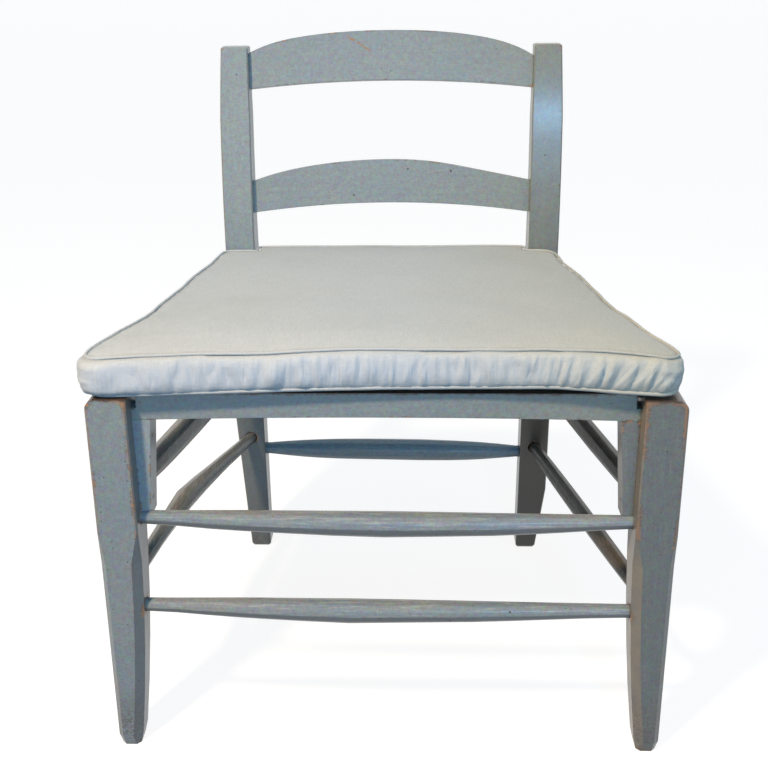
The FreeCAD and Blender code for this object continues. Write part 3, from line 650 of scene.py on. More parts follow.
@dataclass(frozen=True)
class OffWhiteCotton:
    """Washed off-white cotton cloth, greyed a little by use.

    Attributes:
        name: Name of the finish.
        cloth: Colour of clean cloth.
        soiled: Colour of the cloth where it is handled.
        threads: Threads in a metre.
        ribbed: Whether the cloth is a cord cover, cut on the slant.
        warm_light_tint: Warm tint of painted light that the cloth takes towards the chair's right.
        boxing: Colour of the gathered sides: paler, as no one has sat on them, and bluer as painted cool light from
            the front.
    """

    name: str
    cloth: Colour = (0.655, 0.650, 0.600)
    soiled: Colour = (0.560, 0.540, 0.470)
    threads: float = 1300.0
    ribbed: bool = False
    warm_light_tint: Colour = (0.96, 0.89, 0.73)
    boxing: Colour = (0.70, 0.75, 0.81)

    def build(self) -> Material:
        """Makes the material.

        Returns:
            The finished material.
        """
        material, wiring, shader = new_material(self.name)
        place = wiring.coordinates()
        cloth_map = wiring.node("ShaderNodeUVMap", uv_map="cloth").outputs[0]
        weave = PlainWeave().place(wiring, {"Vector": cloth_map, "Threads": self.threads})
        stains = wiring.ramp(wiring.grains(place, 7.0, 4.0, 0.6), 0.42, 0.75)
        colour = wiring.blend(wiring.times(stains, 0.45), self.cloth, self.soiled)
        colour = wiring.blend(wiring.times(weave.outputs["Slub"], 0.34), colour,
                              tuple(0.62 * c for c in self.cloth))
        fluff = wiring.ramp(wiring.grains(place, 520.0, 3.0, 0.8), 0.36, 0.66)
        colour = wiring.blend(wiring.times(fluff, 0.26), colour, tuple(0.64 * c for c in self.cloth))
        # The gathered sides are blended towards a paler colour, with a blue cast that is painted cool light.
        gathered = wiring.node("ShaderNodeAttribute", attribute_name="gathered").outputs["Fac"]
        colour = wiring.blend(wiring.times(gathered, 0.5), colour, self.boxing)
        # Painted light: the cloth is tinted warmer towards the chair's right.
        warm_light_share = wiring.times(wiring.ramp(wiring.axis(place, 0), -0.02, 0.26), 0.9)
        colour = wiring.blend(warm_light_share, colour, self.warm_light_tint, "MULTIPLY")
        # Dirt and painted shade along the seams, darkest next to the piping.
        seam = wiring.node("ShaderNodeAttribute", attribute_name="seam").outputs["Fac"]
        colour = wiring.blend(wiring.times(seam, 0.60), colour, tuple(0.42 * c for c in self.soiled))
        folds = wiring.grains(place, 34.0, 4.0, 0.5)
        height = wiring.plus(wiring.times(weave.outputs["Height"], 0.12),
                             wiring.times(weave.outputs["Slub"], 0.14))
        height = wiring.plus(height, wiring.times(folds, 0.9))
        pleats = wiring.grains(wiring.stretched(cloth_map, (88.0, 20.0, 1.0)), 1.0, 2.0, 0.5)
        ridge = wiring.maths("ABSOLUTE", wiring.minus(pleats, 0.5))
        height = wiring.plus(height, wiring.times(wiring.times(ridge, gathered), 5.5))
        if self.ribbed:
            twist = wiring.node("ShaderNodeTexWave", {"Vector": cloth_map, "Scale": 240.0, "Distortion": 0.6},
                                bands_direction="DIAGONAL").outputs[1]
            height = wiring.plus(height, wiring.times(twist, 0.15))
        bump = wiring.node("ShaderNodeBump", {"Strength": 0.6, "Distance": 0.0012, "Height": height})
        wiring.feed(shader, {"Base Color": colour, "Normal": bump.outputs[0], "Sheen Weight": 0.25,
                             "Roughness": wiring.plus(wiring.times(weave.outputs["Slub"], 0.08), 0.84),
                             "Sheen Roughness": 0.5})
        return material


# Work on meshes


def vectors(items: bpy.types.bpy_prop_collection, name: str = "co") -> np.ndarray:
    """Reads a vector, such as the place or the normal, of each vertex or face."""
    flat = np.empty(len(items) * 3)
    items.foreach_get(name, flat)
    return flat.reshape(-1, 3)


def directions(steps: np.ndarray) -> np.ndarray:
    """Rows of an array scaled to length 1."""
    return steps / np.linalg.norm(steps, axis=1)[:, None]


def clamped(values: np.ndarray) -> np.ndarray:
    """Values kept between 0 and 1."""
    return np.clip(values, 0, 1)


class Bench:
    """What every piece needs on its way: selection, modifiers, placing and handing over."""

    @staticmethod
    def clear() -> None:
        """Deselects everything."""
        if bpy.context.mode != "OBJECT":
            bpy.ops.object.mode_set(mode="OBJECT")
        bpy.ops.object.select_all(action="DESELECT")

    @staticmethod
    def take(piece: Piece) -> None:
        """Makes a piece the only selected, active object.

        Args:
            piece: Object to work on.
        """
        Bench.clear()
        piece.select_set(True)
        bpy.context.view_layer.objects.active = piece

    @staticmethod
    def stitch(name: str, points: np.ndarray, faces: Sequence[Sequence[int]]) -> Piece:
        """Makes a piece from points and faces, and takes it in hand.

        Args:
            name: Name of the piece.
            points: Array of X, Y and Z.
            faces: Indices of each face's points.

        Returns:
            The piece.
        """
        mesh = bpy.data.meshes.new(name)
        mesh.from_pydata(points.tolist(), [], faces)
        piece = bpy.data.objects.new(name, mesh)
        bpy.context.scene.collection.objects.link(piece)
        Bench.take(piece)
        return piece

    @staticmethod
    def face_out() -> None:
        """Turns every face of the piece in hand outwards."""
        bpy.ops.object.mode_set(mode="EDIT")
        bpy.ops.mesh.select_all(action="SELECT")
        bpy.ops.mesh.normals_make_consistent(inside=False)
        bpy.ops.object.mode_set(mode="OBJECT")

    @staticmethod
    def apply(piece: Piece, kind: str, **settings: object) -> None:
        """Adds a modifier with its settings and applies it.

        Args:
            piece: Object to change.
            kind: Modifier type.
            **settings: Its properties.
        """
        Bench.take(piece)
        made = piece.modifiers.new(kind.lower(), kind)
        for name, value in settings.items():
            setattr(made, name, value)
        bpy.ops.object.modifier_apply(modifier=made.name)

    @staticmethod
    def settle(piece: Piece, place: Matrix) -> None:
        """Puts a piece in its place and applies that to its mesh.

        Args:
            piece: Object modelled at the origin.
            place: Its place in the row frame.
        """
        piece.matrix_world = place
        Bench.take(piece)
        bpy.ops.object.transform_apply(location=True, rotation=True, scale=True)

    @staticmethod
    def hand_over(piece: Piece, material: Material, slot: str, body: Body, *nodes: str) -> None:
        """Dresses a new piece and joins it to its body.

        Args:
            piece: Finished object.
            material: Its finish.
            slot: The record's slot of that finish; not used.
            body: Body that it rides on.
            *nodes: Solids that it stands for.
        """
        piece.data.materials.clear()
        piece.data.materials.append(material)
        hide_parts(*nodes)
        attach(piece, body.value)
        log.info("%s: %d faces, for %s", piece.name, len(piece.data.polygons), ", ".join(nodes))

    @staticmethod
    def dress(node: str, material: Material) -> None:
        """Gives a solid of the frame its finish.

        Args:
            node: Name of the solid.
            material: Its finish.
        """
        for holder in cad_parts[node].material_slots:
            holder.material = material
        log.info("%s: dressed in %s", node, material.name)


# Sub-assemblies


@dataclass
class SquareStock:
    """Front legs, rear posts, rails, props and slats, which keep their solids.

    Attributes:
        finishes: Finish of each group of solids.
    """

    finishes: dict[tuple[str, ...], object] = field(default_factory=lambda: {
        # The right leg, right post and right prop take darker copies of the paint, and the right leg a darker bare
        # wood, as painted shade. The left prop takes a lighter copy as painted light. The left leg, left post and
        # left prop also get painted shade on the faces that look right.
        ("front_leg_left",): WornPaint(
            "paint_front_leg_left", Grain.UPRIGHT, (0.242, 0.282, 0.290), (0.280, 0.296, 0.282), wear=0.66,
            rub=0.0075, grime_and_shade_top=True, grime_low=True, holes=0.45, right_face_shade=0.55),
        ("front_leg_right",): WornPaint(
            "paint_and_shade_front_leg_right", Grain.UPRIGHT, (0.134, 0.152, 0.146), (0.160, 0.168, 0.148), wear=0.60,
            rub=0.0075, grime_and_shade_top=True, grime_low=True, holes=0.4, bare=(0.260, 0.150, 0.085), left_face_wear_and_shading=0.75),
        ("rear_post_left",): WornPaint(
            "paint_rear_post_left", Grain.UPRIGHT, wear=0.24, grime_low=True, shaded=0.50, left_face_wear_and_shading=0.55,
            right_face_shade=0.35),
        ("rear_post_right",): WornPaint(
            "paint_and_shade_rear_post_right", Grain.UPRIGHT, (0.200, 0.216, 0.182), (0.238, 0.240, 0.196), wear=0.16,
            grime_low=True, shaded=0.97, gloss=0.45),
        ("front_seat_rail",): WornPaint(
            "paint_front_rail", Grain.CROSSWISE, (0.240, 0.285, 0.292), (0.272, 0.300, 0.285), wear=0.12,
            grime_and_shade_top=True, warm_light_right=0.6),
        ("rail_prop_left",): WornPaint(
            "paint_and_light_prop_left", Grain.UPRIGHT, (0.300, 0.350, 0.365), (0.330, 0.365, 0.360), wear=0.12,
            rub=0.0045, right_face_shade=0.50),
        ("rail_prop_right",): WornPaint(
            "paint_and_shade_prop_right", Grain.UPRIGHT, (0.180, 0.196, 0.184), (0.205, 0.210, 0.185), wear=0.20,
            rub=0.0045, left_face_wear_and_shading=0.6, brown=(0.10, 0.07, 0.045)),
        ("crest_slat", "lower_back_slat"): WornPaint(
            "paint_slats", Grain.CROSSWISE, (0.246, 0.290, 0.305), (0.285, 0.315, 0.304), wear=0.12,
            rub=0.0040, scratch=True, warm_light_right=0.8),
        ("seat_board_front", "seat_board_middle", "seat_board_rear", "rear_seat_rail"):
            BareWood("bare_boards", Grain.CROSSWISE),
        ("side_seat_rail_left", "side_seat_rail_right"): BareWood("bare_side_rails", Grain.BACKWARD),
        ("seat_board_nails", "rail_prop_nails"): DullSteel(),
    })

    def build(self) -> None:
        """Dresses every solid of the group."""
        for nodes, finish in self.finishes.items():
            material = finish.build()
            for node in nodes:
                Bench.dress(node, material)


@dataclass
class Spindle:
    """One stretcher, shaved with a drawknife from end to end.

    Attributes:
        node: Solid that it stands for.
        start: Middle of its near end.
        end: Middle of its far end.
        end_radius: Radius of its plain ends.
        radius: Radius of its middle.
        finish: Its paint.
        bow: How far its thickest part is off the straight line, along X and Z.
        neck: Plain length at each end.
        peak: Place of its thickest part, as a share of its length.
        sides: Flats round it.
        stations: Places of the rings, as shares of half its free length.
        swells: How much of the swell each ring has.
        bends: How much of the bow each ring has, if not as much as of the swell.
        unevenness: How much the radius varies, as a share.
    """

    node: str
    start: Point
    end: Point
    end_radius: float
    radius: float
    finish: WornPaint
    bow: tuple[float, float] = (0.0, 0.0)
    neck: float = 0.024
    peak: float = 0.5
    sides: int = 12
    stations: Sequence[float] = (0.0, 0.14, 0.28, 0.41, 0.55, 0.78, 1.0)
    swells: Sequence[float] = (0.0, 0.34, 0.62, 0.79, 0.90, 0.98, 1.0)
    bends: Sequence[float] = ()
    unevenness: float = 0.05

    def rings(self) -> list[tuple[float, float]]:
        """Distance from the near end and radius of each ring.

        Returns:
            The rings from the near end to the far end.
        """
        length = (Vector(self.end) - Vector(self.start)).length
        front = length * self.peak - self.neck
        back = length * (1 - self.peak) - self.neck
        steps = [(a, self.end_radius + (self.radius - self.end_radius) * b)
                 for a, b in zip(self.stations, self.swells)]
        near = [(self.neck + front * a, r) for a, r in steps]
        far = [(length - self.neck - back * a, r) for a, r in reversed(steps[:-1])]
        return [(0.0, self.end_radius)] + near + far + [(length, self.end_radius)]

    def build(self) -> None:
        """Extrudes the spindle ring by ring, eases its edges and puts it in place."""
        Bench.clear()
        rings = self.rings()
        bpy.ops.mesh.primitive_circle_add(vertices=self.sides, radius=rings[0][1], fill_type="NGON",
                                          location=(0, 0, 0))
        piece = bpy.context.active_object
        piece.name = piece.data.name = f"shaved_{self.node}"
        bpy.ops.object.mode_set(mode="EDIT")
        bpy.ops.mesh.select_all(action="SELECT")
        for (z0, r0), (z1, r1) in zip(rings, rings[1:]):
            bpy.ops.mesh.extrude_region_move(TRANSFORM_OT_translate={"value": (0, 0, z1 - z0)})
            bpy.ops.transform.resize(value=(r1 / r0, r1 / r0, 1.0), center_override=(0, 0, z1))
        bpy.ops.object.mode_set(mode="OBJECT")
        Bench.face_out()
        self.shave(piece)
        Bench.apply(piece, "BEVEL", width=0.0007, segments=2, limit_method="ANGLE", angle_limit=math.radians(14))
        along = (Vector(self.end) - Vector(self.start)).normalized()
        turn = along.to_track_quat("Z", "Y").to_matrix().to_4x4()
        Bench.settle(piece, Matrix.Translation(Vector(self.start)) @ turn)
        self.bend(piece)
        Bench.take(piece)
        bpy.ops.object.shade_smooth_by_angle(angle=math.radians(25))
        Bench.hand_over(piece, self.finish.build(), "paint", Body.FRAME, self.node)

    def shave(self, piece: Piece) -> None:
        """Makes the flats uneven, as a hand tool leaves them.

        Args:
            piece: The spindle, upright at the origin.
        """
        for vertex in piece.data.vertices:
            seed = Vector((vertex.co.x * 55, vertex.co.y * 55, vertex.co.z * 14 + len(self.node)))
            factor = 1.0 + self.unevenness * noise.noise(seed)
            vertex.co.x *= factor
            vertex.co.y *= factor

    def bend(self, piece: Piece) -> None:
        """Moves the swell off the straight line of the ends.

        Args:
            piece: The spindle in its place.
        """
        start = Vector(self.start)
        along = (Vector(self.end) - start).normalized()
        places = [s for s, _ in self.rings()]
        half = list(self.bends or self.swells)
        shares = [0.0] + half + half[-2::-1] + [0.0]
        for vertex in piece.data.vertices:
            share = float(np.interp((vertex.co - start).dot(along), places, shares))
            vertex.co.x += self.bow[0] * share
            vertex.co.z += self.bow[1] * share


@dataclass
class Stretchers:
    """The seven spindles that tie the legs together."""

    front_y: float = -0.2027
    rear_y: float = 0.1809
    cap_depth: float = 0.006

    def spindles(self) -> list[Spindle]:
        """Lists the spindles from their nodes' own boxes and the sizes of the frame.

        Returns:
            The spindles.
        """
        # The front and side stretchers get painted shade on the faces that look down.
        front = WornPaint("paint_front_stretchers", Grain.CROSSWISE, (0.215, 0.252, 0.268), (0.285, 0.285, 0.255),
                          wear=0.10, holes=0.65, streaks=0.55, underside_shade=0.75)
        rear = WornPaint("paint_rear_stretcher", Grain.CROSSWISE, (0.24, 0.30, 0.32), (0.27, 0.30, 0.29),
                         wear=0.15, streaks=0.35)
        # The side stretchers take darker copies of the paint as painted shade under the seat, the right pair
        # darkest and brownest.
        left = WornPaint("paint_and_shade_left_stretchers", Grain.BACKWARD, (0.130, 0.135, 0.125), (0.19, 0.17, 0.13),
                         wear=0.15, streaks=0.35, underside_shade=0.60)
        right = WornPaint("paint_and_shade_right_stretchers", Grain.BACKWARD, (0.066, 0.052, 0.036), (0.095, 0.075, 0.050),
                          wear=0.15, streaks=0.15, underside_shade=0.60, gloss=0.06)
        low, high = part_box("upper_front_stretcher")
        made = [Spindle("upper_front_stretcher", (low[0], self.front_y, 0.2485), (high[0], self.front_y, 0.2459),
                        0.0066, 0.0123, front, (0.0, -0.0052), swells=(0.0, 0.18, 0.40, 0.56, 0.71, 0.89, 1.0))]
        low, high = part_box("lower_front_stretcher")
        made.append(Spindle("lower_front_stretcher", (low[0], self.front_y, 0.1536),
                            (high[0], self.front_y, 0.1506), 0.0067, 0.0118, front, (0.0, -0.0044),
                            peak=0.43, swells=(0.0, 0.12, 0.32, 0.49, 0.66, 0.87, 1.0)))
        low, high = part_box("rear_stretcher")
        made.append(Spindle("rear_stretcher", (low[0], self.rear_y, 0.1395), (high[0], self.rear_y, 0.1355),
                            0.0075, 0.0138, rear, sides=10))
        knuckle = {"bow": (-0.0082, 0.0098), "peak": 0.44, "swells": (0.0, 0.08, 0.17, 0.26, 0.38, 0.72, 1.0),
                   "bends": (0.0, 0.17, 0.34, 0.50, 0.63, 0.86, 1.0)}
        for node, ends, swell, finish, more in (
                ("upper_side_stretcher_left", 0.0080, 0.0135, left, {}),
                ("upper_side_stretcher_right", 0.0080, 0.0108, right, {}),
                ("lower_side_stretcher_left", 0.0071, 0.0118, left, knuckle),
                ("lower_side_stretcher_right", 0.0070, 0.0092, right, {})):
            start, end = self.line(node)
            made.append(Spindle(node, start, end, ends, swell, finish, neck=0.012, sides=8, **more))
        return made

    def line(self, node: str) -> list[Point]:
        """Middles of the two ends of a side stretcher's solid.

        Args:
            node: Name of the solid.

        Returns:
            The middle of its near end and of its far end.
        """
        points = vectors(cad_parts[node].data.vertices)
        low, high = points.min(0), points.max(0)
        caps = (points[points[:, 1] < low[1] + self.cap_depth], points[points[:, 1] > high[1] - self.cap_depth])
        return [tuple((cap.min(0) + cap.max(0)) / 2) for cap in caps]

    def build(self) -> None:
        """Builds every spindle."""
        for spindle in self.spindles():
            spindle.build()


@dataclass
class CushionOutline:
    """Seam line of the cushion, seen from above.

    Attributes:
        corners: Place and radius of each corner, anticlockwise from the front left.
        wave_places: Places along Y at which the sides' slack is given.
        left_waves: How far the left side stands to the right of its plain line at each place.
        right_waves: The same of the right side.
    """

    corners: Sequence[tuple[float, float, float]] = (
        (-0.2655, -0.2161, 0.014), (0.066, -0.2086, 0.700), (0.2570, -0.2195, 0.016),
        (0.2127, -0.0294, 0.700), (0.1885, 0.1573, 0.018), (0.1582, 0.1573, 0.005),
        (0.1582, 0.1769, 0.006), (-0.1582, 0.1769, 0.006), (-0.1582, 0.1573, 0.005),
        (-0.1970, 0.1573, 0.010), (-0.2212, -0.0294, 0.700),
    )
    wave_places: Sequence[float] = (-0.2195, -0.203, -0.187, -0.170, -0.154, -0.136, -0.117, -0.098, -0.078,
                                    -0.057, -0.037, -0.016, 0.006, 0.028, 0.050, 0.075, 0.100, 0.126)
    left_waves: Sequence[float] = (0.0, -0.0016, -0.0042, -0.0038, -0.0015, 0.0, 0.0024, 0.0038, 0.0024,
                                   -0.0010, -0.0019, -0.0020, -0.0012, -0.0020, -0.0022, -0.0010, 0.0010, 0.0)
    right_waves: Sequence[float] = (0.0008, 0.0012, 0.0018, 0.0002, -0.0018, -0.0018, -0.0008, 0.0006, -0.0012,
                                    0.0008, 0.0016, 0.0036, 0.0030, 0.0030, 0.0030, 0.0008, -0.0020, 0.0)

    def ring(self, step: float, outward: float = 0.0) -> np.ndarray:
        """Even points along the outline.

        Args:
            step: Distance between points.
            outward: How far the points are moved outwards.

        Returns:
            Array of X and Y.
        """
        dense: list[Vector] = []
        count = len(self.corners)
        for index, (x, y, radius) in enumerate(self.corners):
            here = Vector((x, y))
            back = (Vector(self.corners[index - 1][:2]) - here).normalized()
            ahead = (Vector(self.corners[(index + 1) % count][:2]) - here).normalized()
            half = back.angle(ahead) / 2
            centre = here + (back + ahead).normalized() * (radius / math.sin(half))
            first = here + back * (radius / math.tan(half)) - centre
            last = here + ahead * (radius / math.tan(half)) - centre
            sweep = math.atan2(first.cross(last), first.dot(last))
            parts = max(3, int(abs(sweep) * radius / 0.001))
            for part in range(parts + 1):
                angle = sweep * part / parts
                spun = Vector((first.x * math.cos(angle) - first.y * math.sin(angle),
                               first.x * math.sin(angle) + first.y * math.cos(angle)))
                dense.append(centre + spun)
        line = np.array([tuple(p) for p in dense])
        closed = np.vstack([line, line[:1]])
        lengths = np.concatenate([[0.0], np.cumsum(np.linalg.norm(np.diff(closed, axis=0), axis=1))])
        stops = np.linspace(0.0, lengths[-1], int(lengths[-1] / step), endpoint=False)
        ring = np.stack([np.interp(stops, lengths, closed[:, k]) for k in (0, 1)], axis=1)
        x, y = ring[:, 0], ring[:, 1]
        slack = np.where(x < 0, np.interp(y, self.wave_places, self.left_waves),
                         np.interp(y, self.wave_places, self.right_waves))
        ring[:, 0] += slack * clamped((np.abs(x) - np.where(y < -0.2, 0.20, 0.165)) / 0.03)
        along = directions(np.roll(ring, -1, axis=0) - np.roll(ring, 1, axis=0))
        return ring + np.stack([along[:, 1], -along[:, 0]], axis=1) * outward


@dataclass
class BoxCushion:
    """Loose cushion: two panels and a puckered boxing strip, with piping in both seams.

    Attributes:
        outline: Its seam line.
        low: Height of its underside.
        height: Height of the boxing.
        crown: How far the top panel rises over its seam.
        bulge: Places across the front, and how far the boxing stands out of the seams at each.
        top_cord: Radius of the upper piping, and how far it stands out.
        bottom_cord: Radius of the lower piping, and how far it stands out.
        low_rises: Places across the front, and how far the lower seam springs up at each.
        high_rises: The same of the upper seam, over the boxing's height.
        lift_depth: How far back the front edge springs up.
        voxel: Size of the cover's facets before it is filled.
        pinned: Width of the band along a seam that doesn't stretch.
        pucker: Depth of the gathers in the boxing.
        gathers: Spacing of the broad and of the fine gathers.
        corner_reach: Distance over which the gathers fan out from a front corner.
        frames: Length of the cloth simulation.
        cloth: Settings of the cloth.
        seam_reach: Distance from a seam over which the cover is still held by it.
        front_line: Place along Y before which the boxing is the cushion's front.
        leans: Places across the front, and how far the gathers lean at each.
        strengths: Places across the front, and how deep the gathers are at each.
        oftener: Places across the front, and how close the gathers stand at each.
        squareness: Places across, and how square the boxing's round is at each.
        flattening: Places along Y, and how much of the bulge is left at each.
        cover: Finish of the cover.
        cord_cover: Finish of the piping.
    """

    outline: CushionOutline = field(default_factory=CushionOutline)
    low: float = 0.3737
    height: float = 0.034
    crown: float = 0.0085
    bulge: Table = (
        (-0.262, -0.225, 0.0, 0.20, 0.25), (0.0112, 0.0080, 0.0075, 0.0075, 0.0088))
    top_cord: tuple[float, float] = (0.0014, 0.0010)
    bottom_cord: tuple[float, float] = (0.0022, 0.0014)
    lift_depth: float = 0.16
    voxel: float = 0.0042
    pinned: float = 0.0030
    pucker: float = 0.0024
    gathers: tuple[float, float] = (0.017, 0.0085)
    corner_reach: float = 0.017
    frames: int = 20
    cloth: dict[str, object] = field(default_factory=lambda: {
        "quality": 6, "mass": 0.2, "tension_stiffness": 25, "compression_stiffness": 25,
        "bending_stiffness": 0.6, "use_pressure": True, "uniform_pressure_force": 4.0,
        "vertex_group_mass": "seams"})
    seam_reach: float = 0.0045
    front_line: float = -0.17
    leans: Table = ((0.10, 0.24), (0.0, 0.022))
    strengths: Table = ((-0.25, -0.05, 0.1, 0.24), (0.8, 1.0, 1.0, 1.25))
    oftener: Table = ((-0.25, 0.0, 0.24), (0.8, 1.0, 1.35))
    squareness: Table = ((-0.22, -0.15, 0.15, 0.22), (6.0, 3.6, 3.6, 1.7))
    flattening: Table = ((-0.17, -0.02, 0.09, 0.14), (1.0, 0.6, 0.5, 0.2))
    cover: OffWhiteCotton = field(default_factory=lambda: OffWhiteCotton("cotton_cover"))
    low_rises: Table = (
        (-0.265, -0.240, -0.200, -0.170, -0.130, -0.080, 0.0, 0.050, 0.100, 0.150, 0.180, 0.205, 0.235, 0.257),
        (0.0010, 0.0010, 0.0015, 0.0027, 0.0037, 0.0052, 0.0064, 0.0065, 0.0074, 0.0085, 0.0072, 0.0050,
         0.0042, 0.0037))
    high_rises: Table = (
        (-0.265, -0.240, -0.210, -0.190, -0.160, -0.130, -0.100, -0.060, -0.020, 0.020, 0.060, 0.110, 0.140,
         0.175, 0.190, 0.210, 0.230, 0.245, 0.257),
        (0.0010, 0.0036, 0.0054, 0.0058, 0.0069, 0.0067, 0.0072, 0.0097, 0.0107, 0.0097, 0.0094, 0.0102,
         0.0112, 0.0105, 0.0103, 0.0091, 0.0072, 0.0049, 0.0035))
    cord_cover: OffWhiteCotton = field(default_factory=lambda: OffWhiteCotton(
        "cotton_piping", (0.625, 0.625, 0.590), (0.54, 0.52, 0.46), 1500.0, True))

    def springs(self, points: np.ndarray) -> np.ndarray:
        """How far each point is lifted by the springy front edge.

        Args:
            points: Array of X, Y and Z.

        Returns:
            Rise of each point.
        """
        front = self.outline.corners[0][1]
        back = clamped(1 - (points[:, 1] - front) / self.lift_depth)
        level = clamped((points[:, 2] - self.low) / self.height)
        low = np.interp(points[:, 0], *self.low_rises)
        high = np.interp(points[:, 0], *self.high_rises)
        return low * back ** 1.5 + (high - low) * level * clamped(back * 1.4)

    def slant(self, points: np.ndarray) -> np.ndarray:
        """How far the gathers lean over the boxing's height, which they do towards the front right."""
        lean = np.interp(points[:, 0], *self.leans)
        return np.where(points[:, 1] < self.front_line, lean, 0.0)

    def stuffed(self) -> Piece:
        """Sews the two panels and the boxing together and fills them.

        Returns:
            The filled cover, with its seams where the piping goes.
        """
        ring = self.outline.ring(0.004, -0.0006)
        count = len(ring)
        rows = [np.column_stack([ring, np.full(count, z)]) for z in (self.low, self.low + self.height)]
        faces = [tuple(reversed(range(count))), tuple(range(count, 2 * count))]
        faces += [(i, (i + 1) % count, count + (i + 1) % count, count + i) for i in range(count)]
        piece = Bench.stitch("box_cushion", np.vstack(rows), faces)
        piece.data.remesh_voxel_size = self.voxel
        bpy.ops.object.voxel_remesh()
        return piece

    def seam_shares(self, points: np.ndarray) -> tuple[np.ndarray, np.ndarray, np.ndarray, np.ndarray]:
        """Measures points against the seams.

        Args:
            points: Array of X, Y and Z.

        Returns:
            Distance to the nearer seam, place along the outline, signed distance outside it and the
            outward direction there.
        """
        step = 0.002
        ring = self.outline.ring(step)
        ahead = directions(np.roll(ring, -1, axis=0) - ring)
        nearest = np.empty(len(points), dtype=int)
        for start in range(0, len(points), 4000):
            part = points[start:start + 4000, None, :2] - ring[None]
            nearest[start:start + 4000] = np.argmin((part ** 2).sum(2), axis=1)
        offset = points[:, :2] - ring[nearest]
        outside = offset[:, 0] * ahead[nearest, 1] - offset[:, 1] * ahead[nearest, 0]
        level = np.minimum(np.abs(points[:, 2] - self.low), np.abs(points[:, 2] - self.low - self.height))
        outwards = np.column_stack([ahead[nearest, 1], -ahead[nearest, 0]])
        return np.hypot(level, outside), nearest * step, outside, outwards

    def inflate(self, piece: Piece) -> None:
        """Blows the filled cover up with its seams held, then limits how far each panel has gone.

        Args:
            piece: The remeshed cover.
        """
        mesh = piece.data
        rest = vectors(mesh.vertices)
        seam, _, outside, outwards = self.seam_shares(rest)
        group = piece.vertex_groups.new(name="seams")
        group.add([int(i) for i in np.nonzero(seam < self.pinned)[0]], 1.0, "REPLACE")
        cloth = piece.modifiers.new("cloth", "CLOTH")
        for name, value in self.cloth.items():
            setattr(cloth.settings, name, value)
        cloth.settings.effector_weights.gravity = 0.0
        scene = bpy.context.scene
        for number in range(1, self.frames + 1):
            scene.frame_set(number)
        Bench.take(piece)
        bpy.ops.object.modifier_apply(modifier=cloth.name)
        scene.frame_set(1)
        blown = vectors(mesh.vertices)
        move = blown - rest
        top = rest[:, 2] > self.low + self.height - self.seam_reach
        up = np.where(top, np.clip(move[:, 2], 0, None), 0)
        most = max(float(up.max()), 1e-6)
        aside = np.clip((move[:, :2] * outwards).sum(1), 0, None)
        aside /= max(float(np.quantile(aside, 0.99)), 1e-6)
        level = clamped((rest[:, 2] - self.low) / self.height)
        sharp = np.where(level > 0.5, 5.0, np.interp(rest[:, 0], *self.squareness))
        round_out = np.sqrt(clamped(1 - np.abs(2 * level - 1) ** sharp)) * clamped(1 + outside / 0.006)
        full = np.interp(rest[:, 0], *self.bulge)
        full *= np.interp(rest[:, 1], *self.flattening)
        side = outwards * (full * (0.85 * round_out + 0.15 * clamped(aside)))[:, None]
        log.info("filling moved the panels %.1f mm", 1000 * most)
        blown[:, :2] = rest[:, :2] + side
        blown[:, 2] = np.where(top, rest[:, 2] + self.crown * (up / most) ** 0.75,
                               rest[:, 2] + np.clip(move[:, 2], -0.0005, 0.0005))
        blown[:, 2] = np.maximum(blown[:, 2], self.low)
        mesh.vertices.foreach_set("co", blown.ravel())
        mesh.update()

    def crease(self, piece: Piece) -> None:
        """Gathers the boxing into upright puckers, and lays slight creases over the top panel.

        Args:
            piece: The blown-up cover.
        """
        mesh = piece.data
        points = vectors(mesh.vertices)
        seam, along, outside, _ = self.seam_shares(points)
        normals = vectors(mesh.vertices, "normal")
        level = clamped((points[:, 2] - self.low) / self.height)
        boxing = clamped(1 - np.abs(normals[:, 2]) * 1.3)
        slant = self.slant(points)
        strength = np.where(points[:, 1] < self.front_line, np.interp(points[:, 0], *self.strengths), 0.8)
        often = np.interp(points[:, 0], *self.oftener)
        ends = np.array([corner[:2] for corner in (self.outline.corners[0], self.outline.corners[2])])
        near = np.linalg.norm(points[:, None, :2] - ends[None], axis=2).min(1)
        corner = np.exp(-(near / self.corner_reach) ** 2)
        depth = np.zeros(len(points))
        broad_step, fine_step = self.gathers
        for i in np.nonzero(boxing > 0)[0]:
            v = level[i]
            s = along[i] - slant[i] * (v - 0.5)
            turns = s * often[i]
            broad = abs(noise.noise(Vector((turns / broad_step, v * 0.6, 1.7))))
            fine = abs(noise.noise(Vector((turns / fine_step + 0.4 * v, v * 1.1, 7.3))))
            fan = abs(noise.noise(Vector((v * 3.6, s / 0.05, 4.2)))) * corner[i]
            depth[i] = (2.4 * broad - 0.6 + 1.3 * fine - 0.3) * (1 - corner[i]) + 1.6 * fan
        held = clamped(seam / self.seam_reach)
        push = self.pucker * depth * strength * boxing * held
        panel = clamped((normals[:, 2] - 0.5) * 2) * clamped(-outside / 0.004)
        edge = np.exp(-np.clip(-outside, 0, None) / 0.030)
        for i in np.nonzero(panel > 0)[0]:
            x, y = points[i, 0], points[i, 1]
            wide = noise.noise(Vector((x / 0.075, y / 0.06, 3.1)))
            tight = noise.noise(Vector((along[i] / 0.024, outside[i] / 0.05, 5.9)))
            push[i] += panel[i] * (0.0010 * wide + 0.0009 * tight * edge[i])
        points += normals * push[:, None]
        points[:, 2] += self.springs(points)
        mesh.vertices.foreach_set("co", points.ravel())
        mesh.update()

